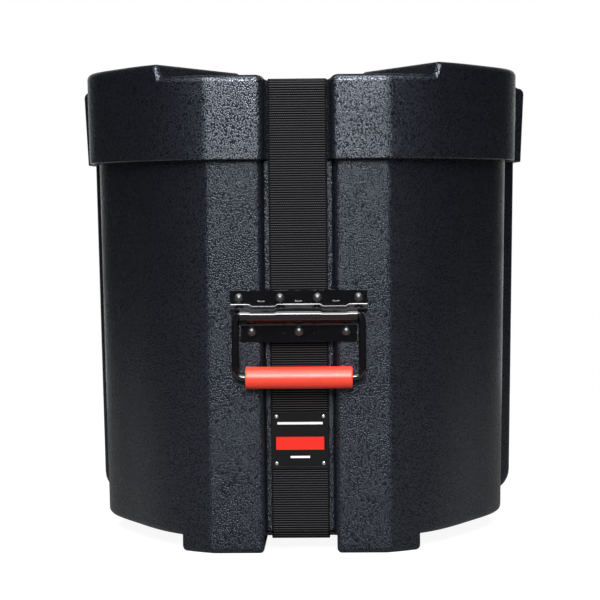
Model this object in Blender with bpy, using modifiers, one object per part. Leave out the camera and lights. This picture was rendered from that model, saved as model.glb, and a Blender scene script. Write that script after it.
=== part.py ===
# Moulded drum case: a drafted tub with feet, a deep lid with raised lobes, one webbing strap
# round both with a side-release buckle on top, and a sprung bail handle on the front.
# Metres, +Z up, the front with its handle faces -Y. Sections are worked out from the drum's axis.

import math

import bmesh
import bpy
from mathutils import Matrix, Vector

for old_object in list(bpy.data.objects):
    bpy.data.objects.remove(old_object, do_unlink=True)

# Shared clearances
fit_gap = 0.0003
cut_overrun = 0.003

# Tub
foot_height = 0.0150
body_radius = 0.2014
body_draft = math.radians(0.95)
body_wall = 0.0042
body_floor = 0.0050
body_wing_half = 0.2200
body_back = 0.2300
body_channel_depth = 0.0110
back_channel_depth = 0.0100
body_bottom_round = 0.0050
wing_bottom_round = 0.0260
wing_ring_shares = (0.34, 0.60, 1.0)
body_inner_round = 0.0040
channel_side_rim = 0.0092
channel_side_base = 0.0014

# Plan outline, shared by the tub and the lid
flat_half_width = 0.0810
wing_front_y = 0.1000
wing_slope = math.radians(45)
wing_corner_radius = 0.0120
rear_corner_radius = 0.0420
lip_radius = 0.0066
valley_radius = 0.0060
floor_corner_radius = 0.0020
round_steps = 14
diagonal_dip = 0.0100
dip_start = math.radians(30)
dip_end = math.radians(92)
side_bulge = 0.0018
bulge_start = math.radians(60)
bulge_end = math.radians(86)

# Bead round the tub's mouth, which centres the lid
bead_height = 0.0120
bead_ramp = 0.0050
bead_clearance = 0.0006

# Feet
foot_outer_half = 0.1110
foot_channel_step = 0.0024
foot_length = 0.0900
foot_round = 0.0055
foot_flush_inset = 0.0004

# Lid
lid_height = 0.0770
mouth_clearance = 0.0092
lid_radius_step = 0.0096
lid_radius_flare = 0.0017
lid_wing_step = 0.0075
lid_wing_flare = 0.0036
lid_back_step = 0.0110
lid_wall = 0.0042
lid_top = 0.0045
lid_channel_side = 0.0041
lid_channel_depth = 0.0156
lid_edge_round = 0.0065
lid_inner_round = 0.0020
ledge_z = 0.4422
lobe_rise = 0.0123
lobe_root = 0.0130
notch_half_width = 0.1300
notch_corner_radius = 0.0090
waist_half_width = 0.0600
waist_front_y = 0.0100
waist_corner_radius = 0.0150
trough_depth = 0.0055
trough_inset = 0.0004
trough_end_round = 0.0060

# Foam pads
pad_thickness = 0.0120
floor_pad_margin = 0.0234
lid_pad_margin = 0.0374
pad_edge_round = 0.0030
pad_centre_y = 0.0240

# Webbing
strap_half_width = 0.0270
strap_thickness = 0.0022
strap_joint_z = 0.2350
strap_bend_share = 1.4

# Sprung bail handle
handle_z = 0.2236
sheet_thickness = 0.0016
bracket_ear = 0.0049
bracket_top_rise = 0.0216
bracket_corner_radius = 0.0040
barrel_end_clearance = 0.0009
barrel_inner_radius = 0.00555
barrel_stand_off = 0.0059
barrel_step = 0.0040
flange_drop = 0.0260
flange_step = 0.0006
bail_radius = 0.0034
bail_drop = 0.0585
bail_corner_radius = 0.0076
grip_radius = 0.0102
grip_end_clearance = 0.0015
grip_edge_round = 0.0012
spring_wire_radius = 0.00075
spring_turns = 8
spring_pitch = 0.0031
spring_start = 0.0120

# Rivets
rivet_head_radius = 0.0043
rivet_head_height = 0.0026
rivet_shank_radius = 0.0024
rivet_tail_radius = 0.0034
rivet_tail_height = 0.0012
washer_radius = 0.0042
washer_thickness = 0.0010
upper_rivet_rise = 0.0155
lower_rivet_drop = 0.0161
upper_rivet_margin = 0.0081
upper_rivet_inner_x = 0.0172
lower_rivet_step = 0.0008
lower_rivet_margin = 0.0098

# Identity plate on the webbing
plate_side_step = 0.0006
plate_half_height = 0.0260
plate_thickness = 0.0012
plate_z = 0.1056
plate_corner_radius = 0.0015
plate_rivet_side = 0.0046
plate_rivet_end = 0.0041
plate_rivet_head = 0.0018
plate_rivet_height = 0.0010
plate_rivet_shank = 0.0009

# Rear anchor for the webbing
anchor_z = 0.2225
anchor_side_step = 0.0030
anchor_half_height = 0.0110
anchor_rivet_side = 0.0120

# Side-release buckle
buckle_side_step = 0.0028
buckle_height = 0.0130
buckle_back = 0.0600
buckle_edge = 0.0022
female_length = 0.0440
male_length = 0.0415
rail_width = 0.0024
end_bar_length = 0.0050
end_slot_length = 0.0075
end_bar_height = 0.0044
pocket_side = 0.0034
pocket_depth = 0.0290
pocket_half_height = 0.0036
window_start = 0.0105
window_length = 0.0165
window_half_height = 0.0044
tongue_half_width = 0.0065
tongue_length = 0.0240
tongue_half_height = 0.0030
arm_pivot_side = 0.0113
arm_root_radius = 0.0025
arm_reach = 0.0225
arm_button_step = 0.0005
arm_button_start = 0.0125
arm_half_height = 0.0031
arm_thickness = 0.0042
tail_length = 0.0900
fold_back_length = 0.0200

foot_top_z = foot_height
channel_half_rim = strap_half_width + channel_side_rim
channel_half_base = strap_half_width + channel_side_base
foot_inner_half = channel_half_base + foot_channel_step
lid_channel_half = strap_half_width + lid_channel_side
lower_rivet_x = channel_half_rim + lip_radius + lower_rivet_step
flange_half_width = lower_rivet_x + lower_rivet_margin
barrel_half_width = flange_half_width + flange_step
bail_half_width = barrel_half_width + barrel_end_clearance + bail_radius
bracket_half_width = bail_half_width + bracket_ear
grip_half_length = bail_half_width - bail_corner_radius - grip_end_clearance
upper_rivet_outer_x = bracket_half_width - upper_rivet_margin
plate_half_width = strap_half_width - plate_side_step
plate_rivet_x = plate_half_width - plate_rivet_side
plate_rivet_z = plate_half_height - plate_rivet_end
anchor_half_width = strap_half_width + anchor_side_step
anchor_rivet_x = anchor_half_width - anchor_rivet_side
buckle_half_width = strap_half_width + buckle_side_step
pocket_half_width = buckle_half_width - pocket_side
arm_pivot_x = buckle_half_width - arm_pivot_side
arm_button_x = buckle_half_width + arm_button_step
trough_z = ledge_z - trough_depth
rim_z = ledge_z - lid_height
body_top_z = trough_z - lid_top - mouth_clearance
lid_radius = body_radius + lid_radius_step
lid_wing_half = body_wing_half + lid_wing_step
lid_back = body_back + lid_back_step
floor_pad_radius = body_radius - floor_pad_margin
lid_pad_radius = body_radius - lid_pad_margin
lobe_top_z = ledge_z + lobe_rise


# Collections, materials and small helpers
case_collection = bpy.data.collections.new("drum_case")
cutter_collection = bpy.data.collections.new("drum_case_cutters")
for new_collection in (case_collection, cutter_collection):
    bpy.context.scene.collection.children.link(new_collection)


def make_material(name, colour, roughness, metallic):
    material = bpy.data.materials.new(name)
    material.use_nodes = True
    shader = material.node_tree.nodes["Principled BSDF"]
    shader.inputs["Base Color"].default_value = (*colour, 1)
    shader.inputs["Roughness"].default_value = roughness
    shader.inputs["Metallic"].default_value = metallic
    return material


shell_black = ((0.020, 0.021, 0.026), 0.45, 0)
webbing_black = ((0.022, 0.020, 0.019), 0.85, 0)
enamel_black = ((0.010, 0.010, 0.012), 0.25, 0.1)
grip_red = ((0.78, 0.08, 0.04), 0.5, 0)
foam_grey = ((0.06, 0.06, 0.065), 0.95, 0)
zinc_grey = ((0.55, 0.56, 0.58), 0.3, 1)
buckle_black = ((0.015, 0.015, 0.016), 0.4, 0)


def add_object(name, mesh, finish=None, parent=None):
    """Put a mesh in the case as a part, or among the cutters when it has no finish."""
    thing = bpy.data.objects.new(name, mesh)
    if finish is None:
        cutter_collection.objects.link(thing)
        thing.hide_render = True
        thing.display_type = "WIRE"
    else:
        case_collection.objects.link(thing)
        mesh.materials.append(make_material(name, *finish))
    thing.parent = parent
    return thing


def add_empty(name, location, rotation, parent):
    empty = bpy.data.objects.new(name, None)
    case_collection.objects.link(empty)
    empty.empty_display_size = grip_radius
    empty.location = location
    empty.rotation_euler = rotation
    empty.parent = parent
    return empty


def add_boolean(thing, cutter, operation, solver="EXACT"):
    modifier = thing.modifiers.new(cutter.name, "BOOLEAN")
    modifier.operation = operation
    modifier.object = cutter
    modifier.solver = solver


def finish_mesh(name, shape, smooth_angle=None):
    bmesh.ops.recalc_face_normals(shape, faces=shape.faces)
    mesh = bpy.data.meshes.new(name)
    shape.to_mesh(mesh)
    shape.free()
    if smooth_angle:
        mesh.shade_smooth()
        mesh.set_sharp_from_angle(angle=smooth_angle)
    return mesh


def skin_rings(shape, rings):
    """Join rings of as many points each into one closed surface with flat caps."""
    rows = [[shape.verts.new(point) for point in ring] for ring in rings]
    count = len(rows[0])
    for lower, upper in zip(rows, rows[1:]):
        for i in range(count):
            j = (i + 1) % count
            shape.faces.new((lower[i], lower[j], upper[j], upper[i]))
    shape.faces.new(list(reversed(rows[0])))
    shape.faces.new(rows[-1])


def loft_mesh(name, ring_lists, smooth_angle=math.radians(20)):
    shape = bmesh.new()
    for rings in ring_lists:
        skin_rings(shape, rings)
    return finish_mesh(name, shape, smooth_angle)


def box_mesh(name, boxes, edge=0):
    """Boxes given by two opposite corners, from unit cubes, with their edges rounded."""
    shape = bmesh.new()
    for low, high in boxes:
        size = [b - a for a, b in zip(low, high)]
        middle = [(a + b) / 2 for a, b in zip(low, high)]
        place = Matrix.Translation(middle) @ Matrix.Diagonal((*size, 1))
        bmesh.ops.create_cube(shape, size=1, matrix=place)
    if edge:
        bmesh.ops.bevel(
            shape, geom=shape.edges[:], offset=edge, offset_type="OFFSET",
            segments=2, profile=0.5, affect="EDGES",
        )
    return finish_mesh(name, shape)


def turned_object(name, profile, segments, finish=None, parent=None):
    """A profile of (radius, height) pairs, from top to bottom, turned about +Z."""
    mesh = bpy.data.meshes.new(name)
    closed = profile[0] == profile[-1]
    points = [(radius, 0, height) for radius, height in (profile[:-1] if closed else profile)]
    edges = [(i, i + 1) for i in range(len(points) - 1)]
    if closed:
        edges.append((len(points) - 1, 0))
    mesh.from_pydata(points, edges, [])
    thing = add_object(name, mesh, finish, parent)
    screw = thing.modifiers.new("turn", "SCREW")
    screw.steps = segments
    screw.render_steps = segments
    screw.use_merge_vertices = True
    screw.merge_threshold = 0.00001
    return thing


def round_off(before, corner, after, radius, steps):
    """Points of the arc that rounds a corner of a flat outline."""
    corner = Vector(corner)
    back = (Vector(before) - corner).normalized()
    ahead = (Vector(after) - corner).normalized()
    half = back.angle(ahead) / 2
    centre = corner + (back + ahead).normalized() * (radius / math.sin(half))
    start = corner + back * (radius / math.tan(half)) - centre
    end = corner + ahead * (radius / math.tan(half)) - centre
    turn = math.atan2(start.cross(end), start.dot(end))
    points = []
    for i in range(steps + 1):
        angle = turn * i / steps
        x = start.x * math.cos(angle) - start.y * math.sin(angle)
        y = start.x * math.sin(angle) + start.y * math.cos(angle)
        points.append((centre.x + x, centre.y + y))
    return points


def inset_ring(points, distance):
    """Move a counter-clockwise outline inwards by a distance."""
    moved = []
    count = len(points)
    for i in range(count):
        before, here, after = (Vector(points[(i + k) % count]) for k in (-1, 0, 1))
        first = (here - before).normalized()
        second = (after - here).normalized()
        inward = Vector((-first.y - second.y, first.x + second.x)).normalized()
        lean = max(inward.dot(Vector((-first.y, first.x))), 0.2)
        moved.append(tuple(here + inward * (distance / lean)))
    return moved


def at_height(points, z):
    return [(x, y, z) for x, y in points]


# Sections of the tub and the lid
def body_section(z):
    spread = (z - rim_z) * math.tan(body_draft)
    radius = body_radius + spread
    front = math.sqrt(radius**2 - flat_half_width**2)
    back = body_back + spread
    down = (rim_z - z) / (rim_z - foot_height)
    rise = min(max(foot_height + wing_bottom_round - z, 0), wing_bottom_round)
    wing_turn = wing_bottom_round - math.sqrt(wing_bottom_round**2 - rise**2)
    return {
        "radius": radius,
        "front": front,
        "wing": body_wing_half + spread - wing_turn,
        "back": back,
        "channel": channel_half_rim + (channel_half_base - channel_half_rim) * down,
        "front_floor": front - body_channel_depth,
        "back_floor": back - back_channel_depth,
    }


def lid_section(z):
    up = (z - rim_z) / (ledge_z - rim_z)
    radius = lid_radius + lid_radius_flare * up
    front = math.sqrt(radius**2 - flat_half_width**2)
    back = lid_back + lid_radius_flare * up
    return {
        "radius": radius,
        "front": front,
        "wing": lid_wing_half + lid_wing_flare * up,
        "back": back,
        "channel": lid_channel_half,
        "front_floor": front - lid_channel_depth,
        "back_floor": back - lid_channel_depth,
    }


def bead_section(z):
    """Fills the lid's narrowest inside but for a clearance, with the tub's own channels."""
    body = body_section(z)
    lid = lid_section(rim_z)
    step_in = lid_wall + bead_clearance
    radius = lid["radius"] - step_in
    return {
        "radius": radius,
        "front": math.sqrt(radius**2 - flat_half_width**2),
        "wing": lid["wing"] - step_in,
        "back": lid["back"] - step_in,
        "channel": body["channel"],
        "front_floor": body["front_floor"],
        "back_floor": body["back_floor"],
    }


def side_reach(angle, radius):
    """Plan radius of the round front: drawn in on its diagonals, a little wider abeam."""
    turn = angle + math.pi / 2
    share = min(max((turn - dip_start) / (dip_end - dip_start), 0), 1)
    spread = min(max((turn - bulge_start) / (bulge_end - bulge_start), 0), 1)
    dip = diagonal_dip * math.sin(math.pi * share)**2
    return radius - dip + side_bulge * math.sin(math.pi / 2 * spread)**2


def case_outline(section):
    """Plan outline: strap channel, front flat, round side, wing, square back, rear channel."""
    radius, front, wing, back = (section[key] for key in ("radius", "front", "wing", "back"))
    channel = section["channel"]
    front_floor = section["front_floor"]
    back_floor = section["back_floor"]
    step_back = (lid_wing_half - wing) * math.tan((math.pi / 2 - wing_slope) / 2)
    corner = Vector((wing, wing_front_y + step_back))
    towards = Vector((-math.cos(wing_slope), -math.sin(wing_slope)))
    along = corner.dot(towards)
    side = radius + side_bulge
    reach = -along - math.sqrt(along**2 - corner.length_squared + side**2)
    valley = corner + towards * reach
    half = round_off(
        (0, -front_floor), (channel, -front_floor), (channel, -front), floor_corner_radius, 2
    )
    half += round_off(
        (channel, -front_floor), (channel, -front), (flat_half_width, -front), lip_radius, 4
    )
    start = math.atan2(-front, flat_half_width)
    tangent = Vector((-valley.y, valley.x)).normalized()
    bend = round_off(valley - tangent, valley, corner, valley_radius, 2)
    end = math.atan2(bend[0][1], bend[0][0])
    for i in range(round_steps):
        angle = start + (end - start) * i / round_steps
        reach = side_reach(angle, radius)
        half.append((reach * math.cos(angle), reach * math.sin(angle)))
    half += bend
    half += round_off(valley, corner, (wing, back), wing_corner_radius, 3)
    half += round_off(corner, (wing, back), (0, back), rear_corner_radius, 6)
    half += round_off((wing, back), (channel, back), (channel, back_floor), lip_radius, 4)
    half += round_off((channel, back), (channel, back_floor), (0, back_floor), floor_corner_radius, 2)
    return half + [(-x, y) for x, y in reversed(half)]


def rounded_rings(section_at, inset, flat_z, round_radius, steps, upwards):
    """Rings that turn from a wall into a flat cap at flat_z, the cap's ring first."""
    rings = []
    for i in range(steps + 1):
        angle = math.pi / 2 * (1 - i / steps)
        rise = round_radius * (1 - math.sin(angle))
        z = flat_z - rise if upwards else flat_z + rise
        draw_in = inset + round_radius * (1 - math.cos(angle))
        rings.append(at_height(inset_ring(case_outline(section_at(z)), draw_in), z))
    return rings


def wall_ring(section_at, inset, z):
    return at_height(inset_ring(case_outline(section_at(z)), inset), z)


# The wall frame: a place on the front flat, or on the flat back, with -Y pointing out
def front_tilt():
    low, high = body_section(foot_top_z), body_section(rim_z)
    return math.atan((high["front"] - low["front"]) / (rim_z - foot_top_z))


bail_swing_out = math.asin((grip_radius + 2 * fit_gap - barrel_stand_off) / bail_drop)
grip_front = body_section(handle_z - bail_drop)["front"] + 2 * grip_radius + 2 * fit_gap
lid_front = lid_section(ledge_z)["front"]
case_front = max(grip_front, lid_front)
case_back = lid_section(ledge_z)["back"]

case_axis = add_empty("case_axis", (0, (case_front - case_back) / 2, 0), (0, 0, 0), None)
lid_axis = add_empty("lid_axis", (0, 0, 0), (0, 0, 0), case_axis)
buckle_axis = add_empty("buckle_axis", (0, buckle_back, 0), (0, 0, 0), lid_axis)
handle_seat = add_empty(
    "handle_seat", (0, -body_section(handle_z)["front"], handle_z), (front_tilt(), 0, 0), case_axis
)
plate_seat = add_empty(
    "plate_seat", (0, -body_section(plate_z)["front_floor"], plate_z), (front_tilt(), 0, 0), case_axis
)
anchor_seat = add_empty(
    "anchor_seat", (0, body_section(anchor_z)["back_floor"], anchor_z),
    (body_draft, 0, math.pi), case_axis,
)


# Tub: outer wall, bead, mouth, inner wall and floor in one closed skin
body_rings = rounded_rings(body_section, 0, foot_top_z, body_bottom_round, 3, False)
for share in wing_ring_shares:
    body_rings.append(wall_ring(body_section, 0, foot_top_z + wing_bottom_round * share))
bead_low = body_top_z - bead_height
body_rings.append(wall_ring(body_section, 0, bead_low - bead_ramp))
body_rings.append(wall_ring(bead_section, 0, bead_low))
body_rings.append(wall_ring(bead_section, 0, body_top_z))
body_rings.append(wall_ring(body_section, body_wall, body_top_z))
body_rings.append(wall_ring(body_section, body_wall, foot_top_z + wing_bottom_round))
inner_floor_z = foot_top_z + body_floor
body_rings += reversed(
    rounded_rings(body_section, body_wall, inner_floor_z, body_inner_round, 2, False)
)
body_shell = add_object(
    "body_shell", loft_mesh("body_shell", [body_rings]), shell_black, case_axis
)

# Feet: four pads cut from the same outline, so their walls run flush with the tub's
foot_envelope = rounded_rings(body_section, foot_flush_inset, 0, foot_round, 3, False)
foot_envelope.append(wall_ring(body_section, foot_flush_inset, foot_top_z + body_bottom_round))
foot_shape = add_object("foot_shape", loft_mesh("foot_shape", [foot_envelope]), None, case_axis)
foot_seat = rounded_rings(body_section, -fit_gap, foot_top_z - fit_gap, body_bottom_round, 3, False)
foot_seat.append(wall_ring(body_section, -fit_gap, foot_top_z + 3 * body_bottom_round))
foot_trim = add_object("foot_trim", loft_mesh("foot_trim", [foot_seat]), None, case_axis)
front_reach = body_section(foot_top_z)["front"] + cut_overrun
back_reach = body_section(foot_top_z)["back"] + cut_overrun
foot_top = foot_top_z + body_bottom_round + foot_round
foot_rows = {
    "front": (-front_reach, foot_length - front_reach),
    "rear": (back_reach - foot_length, back_reach),
}
for row_name, (near_y, far_y) in foot_rows.items():
    for side, side_name in ((-1, "left"), (1, "right")):
        near, far = sorted((side * foot_inner_half, side * foot_outer_half))
        foot_name = "foot_" + row_name + "_" + side_name
        foot = add_object(
            foot_name,
            box_mesh(foot_name, [((near, near_y, 0), (far, far_y, foot_top))], foot_round),
            shell_black, case_axis,
        )
        add_boolean(foot, foot_shape, "INTERSECT")
        add_boolean(foot, foot_trim, "DIFFERENCE")


# Lid
lid_outer = rounded_rings(lid_section, 0, ledge_z, lid_edge_round, 4, True)
lid_outer.append(wall_ring(lid_section, 0, rim_z))
lid_shell = add_object("lid_shell", loft_mesh("lid_shell", [lid_outer]), shell_black, lid_axis)


def lobe_outline(radius, side):
    """Half a disc whose straight edges lean in to the waist of the hourglass ledge."""
    front_corner = (notch_half_width, -math.sqrt(radius**2 - notch_half_width**2))
    back_corner = (front_corner[0], -front_corner[1])
    waist = [(waist_half_width, waist_front_y), (waist_half_width, -waist_front_y)]
    start = math.atan2(front_corner[1], front_corner[0])
    bend_in = round_off(
        waist[1], front_corner,
        (front_corner[0] - front_corner[1], front_corner[1] + front_corner[0]),
        notch_corner_radius, 4,
    )
    bend_out = [(x, -y) for x, y in reversed(bend_in)]
    first = math.atan2(bend_in[-1][1], bend_in[-1][0])
    points = bend_in
    steps = 2 * round_steps
    for i in range(1, steps):
        angle = first - 2 * first * i / steps
        reach = side_reach(angle, radius)
        points.append((reach * math.cos(angle), reach * math.sin(angle)))
    points += bend_out
    points += round_off(back_corner, waist[0], waist[1], waist_corner_radius, 3)
    points += round_off(waist[0], waist[1], front_corner, waist_corner_radius, 3)
    if side < 0:
        points = [(-x, y) for x, y in reversed(points)]
    return points


def lobe_rings(side, inset, low_z, top_z, round_radius, steps):
    rings = []
    radius = lid_section(ledge_z)["radius"]
    rings.append(at_height(inset_ring(lobe_outline(radius, side), inset), low_z))
    for i in range(steps + 1):
        angle = math.pi / 2 * i / steps
        z = top_z - round_radius * (1 - math.sin(angle))
        draw_in = inset + round_radius * (1 - math.cos(angle))
        rings.append(at_height(inset_ring(lobe_outline(radius, side), draw_in), z))
    return rings


lobes = add_object(
    "lobes",
    loft_mesh("lobes", [
        lobe_rings(side, fit_gap, ledge_z - lobe_root, lobe_top_z, lid_edge_round, 4)
        for side in (-1, 1)
    ]),
    None, lid_axis,
)
add_boolean(lid_shell, lobes, "UNION", "MANIFOLD")

# The trough for the webbing runs over the top and turns down into the two channels
top_section = lid_section(trough_z)
floor_front = top_section["front_floor"]
floor_back = top_section["back_floor"]
trough_skin_half = lid_channel_half + lid_wall + trough_inset


def extruded_section(name, outline_yz, half_width):
    """A flat (y, z) outline drawn out along X."""
    rings = [[(x, y, z) for y, z in outline_yz] for x in (-half_width, half_width)]
    return loft_mesh(name, [rings])


above = lobe_top_z + cut_overrun
trough_cut = [(-floor_front - cut_overrun - lid_channel_depth, above)]
trough_cut += round_off(
    (-floor_front - trough_inset, rim_z), (-floor_front - trough_inset, trough_z),
    (0, trough_z), trough_end_round, 4,
)
trough_cut += reversed(round_off(
    (floor_back + trough_inset, rim_z), (floor_back + trough_inset, trough_z),
    (0, trough_z), trough_end_round, 4,
))
trough_cut.append((floor_back + cut_overrun + lid_channel_depth, above))
trough = add_object(
    "trough", extruded_section("trough", trough_cut, lid_channel_half - trough_inset), None, lid_axis
)
add_boolean(lid_shell, trough, "DIFFERENCE", "MANIFOLD")

inner_top_z = ledge_z - lid_top
lid_inner = rounded_rings(lid_section, lid_wall, inner_top_z, lid_inner_round, 2, True)
lid_inner.append(wall_ring(lid_section, lid_wall, rim_z - cut_overrun))
lid_hollow = add_object("lid_hollow", loft_mesh("lid_hollow", [lid_inner]), None, lid_axis)
trough_skin = add_object(
    "trough_skin",
    box_mesh("trough_skin", [(
        (-trough_skin_half, -lid_front, trough_z - lid_top), (trough_skin_half, case_back, ledge_z)
    )]),
    None, lid_axis,
)
add_boolean(lid_hollow, trough_skin, "DIFFERENCE")
add_boolean(lid_shell, lid_hollow, "DIFFERENCE", "MANIFOLD")
lobe_hollows = add_object(
    "lobe_hollows",
    loft_mesh("lobe_hollows", [
        lobe_rings(side, lid_wall, inner_top_z - cut_overrun, lobe_top_z - lid_top, lid_inner_round, 2)
        for side in (-1, 1)
    ]),
    None, lid_axis,
)
add_boolean(lid_shell, lobe_hollows, "DIFFERENCE", "MANIFOLD")

# Foam pads
def foam_pad(name, radius, low_z, high_z, parent):
    edge = pad_edge_round
    profile = [(0, high_z)]
    for i in range(3):
        angle = math.pi / 4 * i
        profile.append((radius - edge + edge * math.sin(angle), high_z - edge + edge * math.cos(angle)))
    for i in range(3):
        angle = math.pi / 4 * i
        profile.append((radius - edge + edge * math.cos(angle), low_z + edge - edge * math.sin(angle)))
    profile.append((0, low_z))
    pad = turned_object(name, profile, 32, foam_grey, parent)
    pad.location = (0, pad_centre_y, 0)
    return pad


floor_pad_low = inner_floor_z + fit_gap
foam_pad("floor_pad", floor_pad_radius, floor_pad_low, floor_pad_low + pad_thickness, case_axis)
lid_pad_high = trough_z - lid_top - fit_gap
foam_pad("lid_pad", lid_pad_radius, lid_pad_high - pad_thickness, lid_pad_high, lid_axis)


# Webbing and sheet metal: a strip with a thickness that follows a path in the YZ plane
def strip_rings(path, thickness, widths):
    """The path is the strip's first face; the other lies to the left of its direction."""
    rings = []
    count = len(path)
    for i, (y, z) in enumerate(path):
        here = Vector((y, z))
        first = here - Vector(path[max(i - 1, 0)])
        second = Vector(path[min(i + 1, count - 1)]) - here
        first = (first if first.length else second).normalized()
        second = (second if second.length else first).normalized()
        side = Vector((-first.y - second.y, first.x + second.x)).normalized()
        lean = max(side.dot(Vector((-first.y, first.x))), 0.3)
        far = here + side * (thickness / lean)
        half = widths[i] if isinstance(widths, list) else widths
        rings.append([(-half, *here), (half, *here), (half, *far), (-half, *far)])
    return rings


def strip_object(name, path, thickness, widths, finish, parent):
    mesh = loft_mesh(name, [strip_rings(path, thickness, widths)])
    return add_object(name, mesh, finish, parent)


def front_strap_y(z):
    return -body_section(z)["front_floor"] - fit_gap


def back_strap_y(z):
    return body_section(z)["back_floor"] + fit_gap


low_z = foot_top_z - fit_gap
lower_path = [(back_strap_y(strap_joint_z), strap_joint_z)]
lower_path += round_off(
    (back_strap_y(strap_joint_z), strap_joint_z), (back_strap_y(foot_top_z), low_z), (0, low_z),
    body_bottom_round, 4,
)
lower_path += round_off(
    (0, low_z), (front_strap_y(foot_top_z), low_z), (front_strap_y(strap_joint_z), strap_joint_z),
    body_bottom_round, 4,
)
lower_path.append((front_strap_y(strap_joint_z), strap_joint_z))
strap_lower = strip_object(
    "strap_lower", lower_path, strap_thickness, strap_half_width, webbing_black, case_axis
)

run_low = strap_joint_z + fit_gap
run_high = rim_z - fit_gap
lid_low_front = -lid_section(rim_z)["front_floor"] - fit_gap
lid_low_back = lid_section(rim_z)["back_floor"] + fit_gap
strip_object(
    "strap_front_run", [(front_strap_y(run_low), run_low), (lid_low_front, run_high)],
    strap_thickness, strap_half_width, webbing_black, case_axis,
)
strip_object(
    "strap_rear_run", [(back_strap_y(run_low), run_low), (lid_low_back, run_high)],
    -strap_thickness, strap_half_width, webbing_black, case_axis,
)

# Over the lid each half turns into the trough and round its buckle bar
bar_low = trough_z + 2 * fit_gap + strap_thickness
bar_high = bar_low + end_bar_height
female_end = fit_gap + female_length
male_end = -fit_gap - male_length


def looped_strap(name, side, bar_outer, back_length):
    """From the rim up the channel and over the trough, then round the bar and back on itself."""
    floor = floor_front if side < 0 else floor_back
    low = lid_low_front if side < 0 else lid_low_back
    wall_y = side * (floor + fit_gap)
    under_z = trough_z + fit_gap
    path = [(low, rim_z)]
    over_edge = trough_end_round - 2 * fit_gap
    path += round_off((low, rim_z), (wall_y, under_z), (0, under_z), over_edge, 6)
    outer_shift = strap_thickness + fit_gap
    turn_y = bar_outer - side * (end_bar_length + outer_shift)
    high_z = bar_high + outer_shift
    bend = strap_bend_share * strap_thickness
    path += round_off((wall_y, under_z), (turn_y, under_z), (turn_y, high_z), bend, 2)
    path += round_off((turn_y, under_z), (turn_y, high_z), (bar_outer, high_z), bend, 2)
    back_z = under_z + 2 * outer_shift
    fall_y = bar_outer + side * 3 * strap_thickness
    path.append((bar_outer + side * fit_gap, high_z))
    path.append((fall_y, back_z))
    path.append((fall_y + side * back_length, back_z))
    return strip_object(
        name, path, -strap_thickness * side, strap_half_width, webbing_black, lid_axis
    )


looped_strap("strap_lid_front", -1, buckle_back + male_end, tail_length)
looped_strap("strap_lid_rear", 1, buckle_back + female_end, fold_back_length)


# Buckle halves: a body, a fork cut at the end, and the bar that the webbing turns round
buckle_low = trough_z + fit_gap
buckle_high = buckle_low + buckle_height
buckle_mid = (buckle_low + buckle_high) / 2
fork_half = buckle_half_width - rail_width


def buckle_half(name, near_y, far_y):
    low_y, high_y = sorted((near_y, far_y))
    body = add_object(
        name,
        box_mesh(name, [(
            (-buckle_half_width, low_y, buckle_low), (buckle_half_width, high_y, buckle_high)
        )], buckle_edge),
        buckle_black, buckle_axis,
    )
    side = 1 if far_y > near_y else -1
    fork_near = far_y - side * (end_bar_length + end_slot_length)
    fork_low, fork_high = sorted((fork_near, far_y + side * cut_overrun))
    fork = add_object(
        name + "_fork",
        box_mesh(name + "_fork", [(
            (-fork_half, fork_low, buckle_low - cut_overrun),
            (fork_half, fork_high, buckle_high + cut_overrun),
        )]),
        None, buckle_axis,
    )
    add_boolean(body, fork, "DIFFERENCE")
    bar_a, bar_b = sorted((far_y - side * buckle_edge / 4, far_y - side * end_bar_length))
    bar = add_object(
        name + "_bar",
        box_mesh(name + "_bar", [(
            (-fork_half - rail_width / 2, bar_a, bar_low), (fork_half + rail_width / 2, bar_b, bar_high)
        )], end_bar_height / 5),
        None, buckle_axis,
    )
    add_boolean(body, bar, "UNION")
    return body


female = buckle_half("buckle_female", fit_gap, female_end)
pocket = add_object(
    "pocket",
    box_mesh("pocket", [(
        (-pocket_half_width, -cut_overrun, buckle_mid - pocket_half_height),
        (pocket_half_width, pocket_depth, buckle_mid + pocket_half_height),
    )]),
    None, buckle_axis,
)
add_boolean(female, pocket, "DIFFERENCE")
windows = add_object(
    "windows",
    box_mesh("windows", [
        (
            (min(side * arm_pivot_x, side * buckle_half_width * 2), window_start,
             buckle_mid - window_half_height),
            (max(side * arm_pivot_x, side * buckle_half_width * 2), window_start + window_length,
             buckle_mid + window_half_height),
        )
        for side in (-1, 1)
    ]),
    None, buckle_axis,
)
add_boolean(female, windows, "DIFFERENCE")

male = buckle_half("buckle_male", -fit_gap, male_end)
tongue = add_object(
    "tongue",
    box_mesh("tongue", [(
        (-tongue_half_width, -buckle_edge * 2, buckle_mid - tongue_half_height),
        (tongue_half_width, tongue_length, buckle_mid + tongue_half_height),
    )], tongue_half_height / 3),
    None, buckle_axis,
)
add_boolean(male, tongue, "UNION")

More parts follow.
